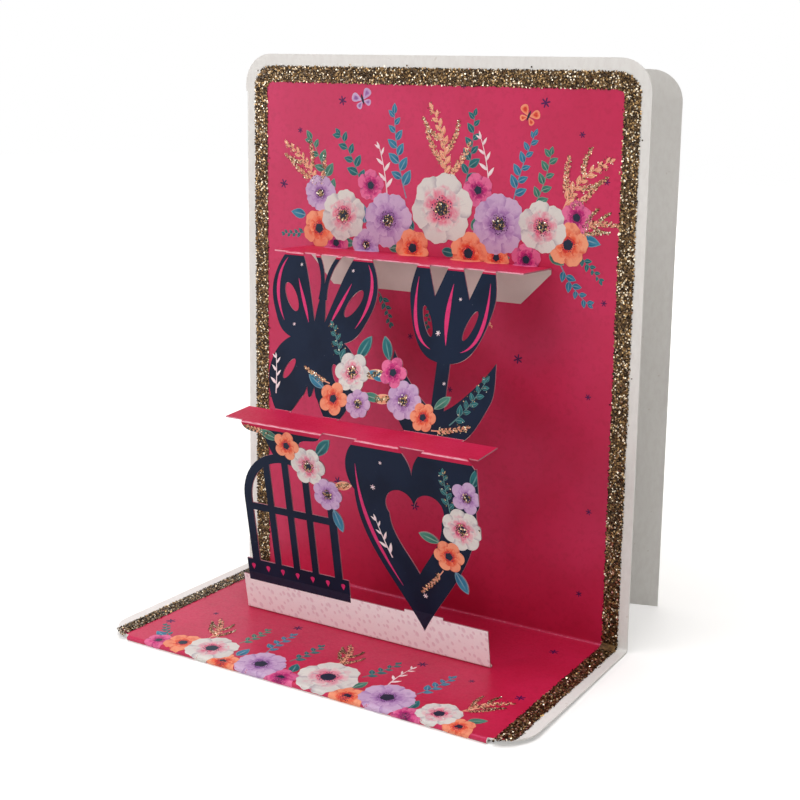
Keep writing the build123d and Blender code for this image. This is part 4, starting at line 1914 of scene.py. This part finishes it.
@dataclass
class Garlands:
    """Printed swag above the upper shelf and festoon along the front of the base."""

    cover: CoverShape
    insert: InsertShape
    rack: InkRack
    least_over_fold: float = 0.6
    finest_stamp: float = 0.65

    SWAG = Bed(
        plumes=(
            Sprig(4.0, 20.0, 78, 22, 46, Habit.GRAIN, Ink.GRAIN),
            Sprig(-38.0, 15.0, 104, 19, 50, Habit.GRAIN, Ink.GRAIN),
            Sprig(40.5, 14.0, 72, 21, -50, Habit.GRAIN, Ink.GRAIN),
            Sprig(45.0, 10.0, 34, 12, -44, Habit.GRAIN, Ink.GRAIN),
        ),
        sprigs=(
            Sprig(-8.0, 16.0, 108, 24, -16, Habit.FROND, Ink.BLUE),
            Sprig(10.5, 19.0, 74, 21, 16, Habit.FROND, Ink.TEAL),
            Sprig(-23.0, 18.0, 108, 17, 20, Habit.FERN, Ink.TEAL),
            Sprig(26.0, 16.0, 80, 20, -16, Habit.FROND, Ink.BLUE),
            Sprig(-33.0, 14.0, 108, 19, 14, Habit.FERN, Ink.SAGE),
            Sprig(32.0, 15.0, 62, 16, 20, Habit.FERN, Ink.SAGE),
            Sprig(18.4, 22.0, 96, 12, 14, Habit.SPRAY, Ink.SNOW),
            Sprig(-14.5, 17.0, 96, 13, 12, Habit.SPRAY, Ink.SNOW),
            Sprig(41.0, 1.0, -62, 13, 26, Habit.FERN, Ink.BLUE),
            Sprig(46.0, 4.0, -34, 9, -20, Habit.FERN, Ink.TEAL),
            Sprig(-43.0, 4.0, 196, 8, -20, Habit.FERN, Ink.TEAL),
        ),
        leaves=(
            Leaf(-5.5, 7.0, 5.4, 128, Ink.TEAL), Leaf(13.6, 8.4, 5.2, 60, Ink.SAGE),
            Leaf(-22.0, 8.0, 5.6, 96, Ink.BLUE), Leaf(29.0, 8.0, 5.4, 84, Ink.TEAL),
            Leaf(-35.0, 1.5, 5.6, 14, Ink.TEAL), Leaf(-43.0, 9.0, 5.4, 172, Ink.BLUE),
            Leaf(47.0, 8.5, 5.6, -12, Ink.BLUE), Leaf(37.5, 3.6, 5.2, -30, Ink.SAGE),
            Leaf(4.0, 2.0, 5.0, -8, Ink.TEAL), Leaf(-13.5, 1.2, 5.0, 12, Ink.SAGE),
            Leaf(20.5, 1.0, 5.2, 8, Ink.TEAL), Leaf(-30.0, 2.0, 5.0, -4, Ink.SAGE),
        ),
        blooms=(
            Bloom(-32.0, 1.5, 4.4, 5, Ink.MAGENTA), Bloom(21.4, 1.4, 4.2, 5, Ink.CORAL),
            Bloom(15.2, 19.6, 4.8, 5, Ink.MAGENTA), Bloom(-20.0, 19.0, 4.6, 5, Ink.MAGENTA),
            Bloom(-37.6, 15.8, 5.4, 7, Ink.LILAC), Bloom(45.2, 14.0, 4.6, 5, Ink.MAGENTA),
            Bloom(-14.0, 9.4, 8.0, 7, Ink.LILAC), Bloom(22.0, 10.6, 8.4, 7, Ink.LILAC),
            Bloom(-5.6, 2.0, 5.6, 5, Ink.CORAL), Bloom(12.6, 1.9, 6.0, 5, Ink.CORAL),
            Bloom(-21.4, 1.7, 4.8, 5, Ink.LILAC), Bloom(30.6, 1.6, 4.6, 5, Ink.MAGENTA),
            Bloom(-38.0, 5.4, 5.8, 5, Ink.CORAL), Bloom(43.0, 6.6, 6.0, 5, Ink.CORAL),
            Bloom(-29.4, 9.8, 7.6, 6, Ink.CREAM), Bloom(35.2, 10.8, 7.2, 6, Ink.CREAM),
            Bloom(3.8, 13.8, 10.0, 6, Ink.CREAM),
        ),
    )
    UNDER_SPRIGS = (
        Sprig(-17.0, 92.6, -52, 10, -30, Habit.FERN, Ink.TEAL),
        Sprig(2.0, 92.8, -118, 9, 26, Habit.FERN, Ink.TEAL),
        Sprig(18.0, 92.8, -80, 7, 20, Habit.GRAIN, Ink.GRAIN),
    )
    SCATTER = (
        (-51, 122), (-45, 138), (-30, 147), (-20, 153), (10, 152), (35, 148), (46, 140),
        (53.5, 128), (54, 96), (-52, 96), (-49.5, 74), (50.5, 70), (-6, 80.5), (7.5, 66.5),
        (52, 38), (12, 44), (-3.5, 30), (50, 14), (8, 7.6), (29, 78), (-31, 33),
    )
    FESTOON = Bed(
        plumes=(
            Sprig(-36.0, -53.0, 96, 13, 40, Habit.GRAIN, Ink.GRAIN),
            Sprig(3.0, -49.0, 84, 13, 44, Habit.GRAIN, Ink.GRAIN),
            Sprig(44.0, -55.0, 74, 14, -46, Habit.GRAIN, Ink.GRAIN),
        ),
        sprigs=(
            Sprig(-27.0, -51.0, 76, 11, 16, Habit.FERN, Ink.SAGE),
            Sprig(-17.0, -52.0, 104, 13, -20, Habit.FERN, Ink.BLUE),
            Sprig(-8.5, -53.0, 74, 12, 18, Habit.FERN, Ink.TEAL),
            Sprig(13.0, -51.0, 66, 12, 14, Habit.FERN, Ink.TEAL),
            Sprig(21.0, -51.0, 98, 11, -18, Habit.SPRAY, Ink.SNOW),
            Sprig(30.0, -52.0, 68, 13, 20, Habit.FERN, Ink.BLUE),
            Sprig(-46.0, -57.0, 150, 8, -22, Habit.FERN, Ink.TEAL),
        ),
        leaves=(
            Leaf(-4.0, -58.0, 5.2, 112, Ink.TEAL), Leaf(14.4, -57.4, 5.0, 72, Ink.SAGE),
            Leaf(-22.4, -57.6, 5.2, 88, Ink.BLUE), Leaf(32.6, -59.6, 5.0, 92, Ink.TEAL),
            Leaf(-47.0, -58.0, 4.6, 160, Ink.BLUE), Leaf(48.0, -58.0, 5.0, 34, Ink.SAGE),
        ),
        blooms=(
            Bloom(-23.4, -62.4, 4.8, 5, Ink.CORAL), Bloom(15.8, -62.0, 5.0, 5, Ink.CORAL),
            Bloom(-4.6, -62.2, 4.8, 5, Ink.MAGENTA), Bloom(33.4, -63.2, 4.4, 5, Ink.MAGENTA),
            Bloom(-46.6, -60.8, 3.8, 5, Ink.MAGENTA), Bloom(-40.0, -58.6, 5.2, 5, Ink.CORAL),
            Bloom(-13.8, -58.4, 7.0, 7, Ink.LILAC), Bloom(24.8, -57.4, 7.4, 7, Ink.LILAC),
            Bloom(47.6, -61.6, 4.2, 5, Ink.CORAL), Bloom(-31.0, -57.4, 7.2, 6, Ink.CREAM),
            Bloom(40.2, -58.2, 5.8, 6, Ink.CREAM), Bloom(5.6, -55.6, 8.6, 6, Ink.CREAM),
        ),
    )
    BASE_SCATTER = ((-53, -49), (-46, -38), (-20, -34), (22, -36), (38, -38), (53, -40), (48, -10))

    def build(self) -> list[bpy.types.Object]:
        """Make the swag on the upright and on the shelf, and the festoon."""
        return [self._swag(), self._swag_on_shelf(), self._festoon()]

    def _swag(self) -> bpy.types.Object:
        """Flowers that stand on the upper fold, with stars and sprigs over the whole upright.

        Returns:
            The object.
        """
        crease = self.insert.upper_fold + self.insert.card / 2
        posy = Posy("swag_print", self.cover.section(), COVER_SLOT, 11)
        for sprig in self.UNDER_SPRIGS:
            posy.sprig(sprig)
        posy.stars(self.SCATTER, Ink.PLUM)
        posy.butterfly(-23.0, crease + 43.0, 7.0, 20, Ink.LILAC)
        posy.butterfly(30.0, crease + 40.0, 6.4, -24, Ink.CORAL)
        self.SWAG.plant(posy, crease, crease, True)
        return posy.finish(self.rack)

    def _swag_on_shelf(self) -> bpy.types.Object:
        """What of the swag's flowers runs on over the upper shelf.

        Returns:
            The object.
        """
        face = self.insert.shelf_from_fold()
        posy = Posy("shelf_print", face, INSERT_SLOT, 12, crease=0.0)
        for bloom in self.SWAG.blooms:
            inside = abs(bloom.across) + bloom.radius < self.insert.half_width
            if inside and bloom.along < bloom.radius - self.least_over_fold:
                posy.carry(replace(bloom, across=-bloom.across, along=-bloom.along))
        return posy.finish(self.rack)

    def _festoon(self) -> bpy.types.Object:
        """Flowers along the front of the base, fine enough to follow the lip.

        Returns:
            The object.
        """
        face = self.cover.section()
        posy = Posy("festoon_print", face, COVER_SLOT, 13, fine=self.finest_stamp)
        posy.stars(self.BASE_SCATTER, Ink.PLUM)
        self.FESTOON.plant(posy, 0.0, -math.inf, False)
        return posy.finish(self.rack)


@dataclass(frozen=True)
class FigureArt:
    """Print of one die-cut figure, measured from its foot.

    A line is four Bezier points and a width, and twin lines are printed on both sides. Every
    sprig is glittered but the white ones.
    """

    sprigs: tuple[Sprig, ...]
    leaves: tuple[Leaf, ...]
    blooms: tuple[Bloom, ...]
    stars: tuple[tuple[float, float], ...] = ()
    twin_lines: tuple = ()
    lines: tuple = ()

    def draw(self, posy: Posy, foot: Array) -> None:
        """Print the lines, stars, sprigs, cut leaves and cut flowers.

        Args:
            posy: what they are printed in.
            foot: the figure's foot, as (across, along).
        """
        for side, lines in ((1, self.twin_lines), (-1, self.twin_lines), (1, self.lines)):
            for ends, width in lines:
                posy.curve(np.array(ends) * [side, 1] + foot, width, Ink.ROSE)
        if self.stars:
            posy.stars(np.array(self.stars) + foot, Ink.SNOW, 0.8)
        for sprig in self.sprigs:
            posy.sprig(moved(sprig, *foot), sprig.ink is not Ink.SNOW)
        for leaf in self.leaves:
            posy.leaf(moved(leaf, *foot))
            if leaf.ink is Ink.GRAIN:
                for share in (0.25, 0.5, 0.75):
                    hub = ray(math.radians(leaf.heading)) * share * leaf.length
                    spot = hub + foot + [leaf.across, leaf.along]
                    posy.sprinkle(spot, leaf.length * 0.13, 22, (0.13, 0.25))
        for bloom in self.blooms:
            posy.bloom(moved(bloom, *foot), True)


@dataclass
class FigurePrint:
    """Flowers, leaves and rose lines printed on the four die-cut figures."""

    insert: InsertShape
    rack: InkRack
    spacing: float = 41.0
    heart_tip: float = 6.5
    heart_width: float = 37.0
    heart_overlap: float = 2.3
    cage_width: float = 31.0
    tray_overhang: float = 1.96
    tray_line: float = 2.6

    BUTTERFLY = FigureArt(
        twin_lines=(
            (((12.0, 25.4), (16.2, 31.5), (17.0, 38.5), (13.6, 43.2)), 1.0),
            (((3.6, 25.6), (5.0, 29.0), (6.8, 32.6), (9.0, 37.6)), 0.9),
        ),
        stars=((-8.6, 41.5), (8.9, 41.2), (-8.4, 24.6)),
        sprigs=(
            Sprig(9.2, 15.5, 112, 11, 4, Habit.FERN, Ink.TEAL),
            Sprig(-11.4, 4.6, 96, 10, 6, Habit.SPRAY, Ink.SNOW),
            Sprig(6.2, 9.6, 168, 9, -20, Habit.GRAIN, Ink.GRAIN),
        ),
        leaves=(
            Leaf(14.0, 17.0, 8.0, 62, Ink.TEAL), Leaf(17.0, 13.0, 6.5, 15, Ink.GRAIN),
            Leaf(4.5, 8.0, 6.5, 150, Ink.BLUE), Leaf(17.5, 8.0, 6.0, -8, Ink.SAGE),
        ),
        blooms=(
            Bloom(13.0, 13.5, 5.6, 6, Ink.CREAM), Bloom(8.0, 5.6, 4.7, 5, Ink.CORAL),
            Bloom(16.2, 5.2, 4.0, 7, Ink.LILAC),
        ),
    )
    TULIP = FigureArt(
        twin_lines=((((4.6, 22.6), (10.2, 24.6), (11.4, 32.0), (10.9, 41.5)), 1.0),),
        lines=((((0.0, 24.0), (-0.9, 29.5), (-0.9, 34.0), (0.0, 40.5)), 1.3),),
        stars=((2.6, 36.6), (-2.8, 27.0), (1.0, 14.0)),
        sprigs=(
            Sprig(4.2, 3.4, 44, 15.5, 22, Habit.FROND, Ink.TEAL),
            Sprig(-1.0, 1.3, 4, 11, 16, Habit.GRAIN, Ink.GRAIN),
        ),
        leaves=(
            Leaf(-14.0, 8.0, 6.5, 188, Ink.GRAIN), Leaf(-16.5, 18.0, 7.0, 112, Ink.TEAL),
            Leaf(-1.0, 7.0, 6.0, 40, Ink.SAGE), Leaf(-17.0, 12.5, 6.0, 160, Ink.BLUE),
        ),
        blooms=(
            Bloom(-10.5, 8.0, 5.4, 7, Ink.LILAC), Bloom(-15.0, 15.0, 4.3, 5, Ink.MAGENTA),
            Bloom(-4.0, 4.4, 4.0, 6, Ink.CORAL),
        ),
    )
    BIRDCAGE = FigureArt(
        sprigs=(Sprig(-1.6, -2.6, 176, 10, -8, Habit.GRAIN, Ink.GRAIN),),
        leaves=(
            Leaf(11.0, -6.6, 7.5, 48, Ink.TEAL), Leaf(15.0, -21.6, 7.0, -70, Ink.BLUE),
            Leaf(16.0, -14.6, 6.0, 12, Ink.GRAIN), Leaf(-1.0, -3.6, 6.5, 165, Ink.SAGE),
        ),
        blooms=(
            Bloom(8.0, -10.1, 5.6, 6, Ink.CREAM), Bloom(13.5, -17.6, 4.7, 7, Ink.LILAC),
            Bloom(1.5, -5.1, 4.2, 5, Ink.CORAL),
        ),
    )
    HEART = FigureArt(
        lines=((((-17.4, 46.5), (-17.6, 33.0), (-13.3, 24.0), (-5.6, 12.6)), 1.1),),
        stars=((-9.4, 48.0), (-12.4, 40.5), (1.2, 11.0)),
        sprigs=(
            Sprig(10.9, 37.0, 99, 11, -4, Habit.FERN, Ink.TEAL),
            Sprig(-8.2, 20.5, 116, 11, -8, Habit.SPRAY, Ink.SNOW),
            Sprig(7.4, 19.9, 234, 10, -14, Habit.GRAIN, Ink.GRAIN),
        ),
        leaves=(
            Leaf(18.0, 34.0, 6.5, -15, Ink.GRAIN), Leaf(17.5, 45.5, 7.0, 62, Ink.TEAL),
            Leaf(11.0, 20.5, 7.0, -60, Ink.BLUE), Leaf(7.0, 28.0, 6.5, 165, Ink.SAGE),
        ),
        blooms=(
            Bloom(14.0, 33.0, 6.0, 7, Ink.CREAM), Bloom(16.0, 42.5, 4.6, 5, Ink.LILAC),
            Bloom(9.5, 24.5, 4.6, 6, Ink.CORAL),
        ),
    )

    def build(self) -> list[bpy.types.Object]:
        """Print the butterfly and the tulip on the upper tier, the birdcage and the heart below.

        Returns:
            The four objects.
        """
        upper, lower, half = self.insert.upper_face(), self.insert.lower_face(), self.spacing / 2
        pieces = []
        for name, art, face, seed, foot, carry_on in (
            ("butterfly", self.BUTTERFLY, upper, 21, (-half, 0.0), None),
            ("tulip", self.TULIP, upper, 22, (half, 0.0), None),
            ("birdcage", self.BIRDCAGE, lower, 23, (-half, self.insert.lower_tier), self._tray),
            ("heart", self.HEART, lower, 24, (half, self.heart_tip), self._tip),
        ):
            posy = Posy(f"{name}_print", face, INSERT_SLOT, seed, die_cut=True)
            if carry_on:
                carry_on(posy)
            art.draw(posy, np.array(foot))
            pieces.append(posy.finish(self.rack))
        return pieces

    def _tray(self, posy: Posy) -> None:
        """Carry the tray of the birdcage on over the strip.

        Args:
            posy: what it is printed in.
        """
        middle, floor = -self.spacing / 2, self.insert.strip
        half = self.cage_width / 2 + self.tray_overhang
        line = np.stack([np.linspace(-half, half, 9) + middle, np.full(9, floor - 0.1)], -1)
        tray = ribbon(posy.face, line, np.full(len(line), self.tray_line), posy.UNDER)
        posy.keep(tray, Ink.NAVY)
        pegs = np.stack([np.linspace(2 - half, half - 2, 7) + middle, np.full(7, floor + 2.1)], -1)
        posy.stamp(drop(12, 0.4), pegs, 2.0, math.pi / 2, Ink.ROSE, posy.UNDER + 0.01)

    def _tip(self, posy: Posy) -> None:
        """Carry the tip of the heart on over the strip.

        The flank is a cubic Bezier from the tip through (0.17 w, 0.22 h) and (0.5 w, 0.42 h) to
        (0.5 w, 0.70 h), read at even heights. The lobes run a little past the fold above.

        Args:
            posy: what it is printed in.
        """
        height = self.insert.lower_tier - self.heart_tip + self.heart_overlap
        rise = self.insert.strip + 1.2 - self.heart_tip
        t = np.linspace(0, 0.4, 60)
        first, second, third = 3 * t * (1 - t) ** 2, 3 * t**2 * (1 - t), t**3
        flank_x = self.heart_width * (0.17 * first + 0.5 * second + 0.5 * third)
        flank_y = height * (0.22 * first + 0.42 * second + 0.7 * third)
        levels = np.linspace(0, rise, 8)
        flank = np.stack([np.interp(levels, flank_y, flank_x), levels], -1)
        tip = np.concatenate([flank, (flank[1:] * [-1, 1])[::-1]])
        stencil = Stencil(tip, np.array([0.0, rise * 0.7]))
        foot = np.array([self.spacing / 2, self.heart_tip])
        posy.stamp(stencil, foot, 1.0, 0.0, Ink.NAVY, posy.UNDER)


# Studio


@dataclass(frozen=True)
class Softbox:
    """A square lamp that looks at the card."""

    name: str
    azimuth: float
    elevation: float
    distance: float
    size: float
    watts: float
    tone: Tone
    mirrored: bool = True

    def place(self, target: Vector) -> None:
        """Hang the lamp at its angles round the target, in degrees and metres.

        Args:
            target: what it looks at.
        """
        lamp = bpy.data.lights.new(self.name, "AREA")
        lamp.size = self.size
        lamp.energy = self.watts
        lamp.color = self.tone.linear()[:3]
        holder = bpy.data.objects.new(self.name, lamp)
        bpy.context.scene.collection.objects.link(holder)
        back = direction(self.azimuth, self.elevation)
        holder.visible_glossy = self.mirrored
        holder.location = target + back * self.distance
        holder.rotation_euler = (-back).to_track_quat("-Z", "Y").to_euler()


def direction(azimuth: float, elevation: float) -> Vector:
    """Unit vector towards a place round the card, with azimuth 0 in front and 90 to the right."""
    a, e = math.radians(azimuth), math.radians(elevation)
    return Vector((math.sin(a) * math.cos(e), -math.cos(a) * math.cos(e), math.sin(e)))


@dataclass
class Studio:
    """Pale floor, soft light and the photograph's camera.

    eye is in millimetres from the card's origin. The angles are degrees, and the lens and the
    sensor are millimetres.
    """

    eye: tuple[float, float, float] = (186.06, -297.26, 149.34)
    azimuth: float = 27.642
    elevation: float = 9.852
    roll: float = 1.526
    lens: float = 57.913
    sensor: float = 36.0
    shift: tuple[float, float] = (-0.125, -0.1)
    ambient: float = 0.25
    sky: Tone = Tone(255, 249, 240)
    white: Tone = Tone(255, 255, 255)
    sweep: tuple[Tone, Tone] = (Tone(236, 235, 234), Tone(240, 239, 238))
    floor_size: float = 4.0
    floor_depth: float = 10.0
    floor_drop: float = 0.02
    lamps: tuple[Softbox, ...] = (
        Softbox("key", -45.0, 8.0, 0.95, 0.3, 1.0, Tone(252, 252, 255)),
        Softbox("top", -30.0, 80.0, 1.1, 1.0, 11.4, Tone(253, 253, 255)),
        Softbox("fill", -36.0, 9.0, 1.2, 0.5, 2.3, Tone(255, 252, 248), False),
        Softbox("side", 62.0, 24.0, 1.2, 0.8, 0.5, Tone(255, 249, 240), False),
        Softbox("back", 192.0, 22.0, 1.2, 0.7, 3.6, Tone(255, 252, 247), False),
    )

    def build(self) -> None:
        """Set up the whole studio."""
        low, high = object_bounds()
        for lamp in self.lamps:
            lamp.place((low + high) / 2)
        self._camera()
        self._world()
        self._floor()
        bpy.context.scene.view_settings.view_transform = "Standard"

    def _camera(self) -> None:
        """Camera fitted to the corners of the card in the photograph."""
        data = bpy.data.cameras.new("camera")
        data.lens = self.lens
        data.sensor_width = self.sensor
        data.shift_x, data.shift_y = self.shift
        data.clip_start = 0.01
        data.clip_end = 20.0
        camera = bpy.data.objects.new("camera", data)
        bpy.context.scene.collection.objects.link(camera)
        back = direction(self.azimuth, self.elevation)
        right = Vector((0, 0, 1)).cross(back).normalized()
        up = back.cross(right)
        cos, sin = math.cos(math.radians(self.roll)), math.sin(math.radians(self.roll))
        basis = Matrix((right * cos + up * sin, up * cos - right * sin, back)).transposed()
        camera.matrix_world = Matrix.Translation(Vector(self.eye) * MM) @ basis.to_4x4()
        bpy.context.scene.camera = camera

    def _world(self) -> None:
        """White for the camera and for reflections, a softer grey as light."""
        world = bpy.data.worlds.new("studio")
        bpy.context.scene.world = world
        w = Wiring(world)
        glow = {"Color": self.sky.linear(), "Strength": self.ambient}
        light = w.add("ShaderNodeBackground", glow)
        shown = w.add("ShaderNodeBackground", {"Color": self.white.linear(), "Strength": 1.0})
        both = {0: w.seen(), 1: light.outputs[0], 2: shown.outputs[0]}
        mixed = w.add("ShaderNodeMixShader", both)
        w.add("ShaderNodeOutputWorld", {"Surface": mixed.outputs[0]})

    def _floor(self) -> None:
        """Pale sweep that keeps the card's shadow.

        Near the card most of its white is paper in the light, on which the shadow shows.
        Further out more of it is its own glow, which only the background's rays see.
        """
        half = self.floor_size / 2 / MM
        ends = np.array([-half, half])
        grid = np.stack(np.meshgrid(ends, ends, [-self.floor_drop], indexing="xy"), -1)[:, :, 0]
        shell = slab(grid, grid - [0, 0, self.floor_depth])
        floor = bpy.data.objects.new("floor", shell.mesh("floor"))
        bpy.context.scene.collection.objects.link(floor)
        floor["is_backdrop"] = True
        w = Wiring.ink("floor_sweep")
        place = w.place()
        tone = w.mix(w.noise(place, 300.0, 2.0), *self.sweep)
        paper = w.add("ShaderNodeBsdfDiffuse", {"Color": tone}).outputs[0]
        strength = w.spread(w.vector("LENGTH", place), 0.28, 0.85, 0.15, 0.7)
        glow = w.add("ShaderNodeEmission", {"Color": self.white.linear(), "Strength": strength})
        both = w.add("ShaderNodeAddShader", {0: paper, 1: glow.outputs[0]}).outputs[0]
        mixed = w.add("ShaderNodeMixShader", {0: w.seen(), 1: paper, 2: both})
        w.add("ShaderNodeOutputMaterial", {"Surface": mixed.outputs[0]})
        floor.data.materials.append(w.owner)


def dress(node: bpy.types.Object, material: bpy.types.Material) -> None:
    """Give a node of the frame its finish, in every slot it has.

    Args:
        node: the node.
        material: its finish.
    """
    if not node.material_slots:
        node.data.materials.append(material)
    for slot in node.material_slots:
        slot.material = material


def main() -> None:
    """Load the frame, dress the card and set up the studio."""
    logging.basicConfig(level=logging.INFO, format="%(message)s")
    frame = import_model()
    cover = CoverShape.from_frame()
    low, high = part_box(INSERT_NODE)
    insert = InsertShape(cover, (low.x + high.x) / 2 / MM)
    rack = InkRack()
    dress(frame["nodes"][COVER_NODE], WhiteBoard().make())
    dress(frame["nodes"][INSERT_NODE], PrintedCard(insert).make())
    pieces = [
        *CoverPrint(cover, rack).build(),
        *Garlands(cover, insert, rack).build(),
        *FigurePrint(insert, rack).build(),
    ]
    Studio().build()
    LOG.info("pieces: %s", ", ".join(piece.name for piece in pieces))


if __name__ == "__main__":
    main()
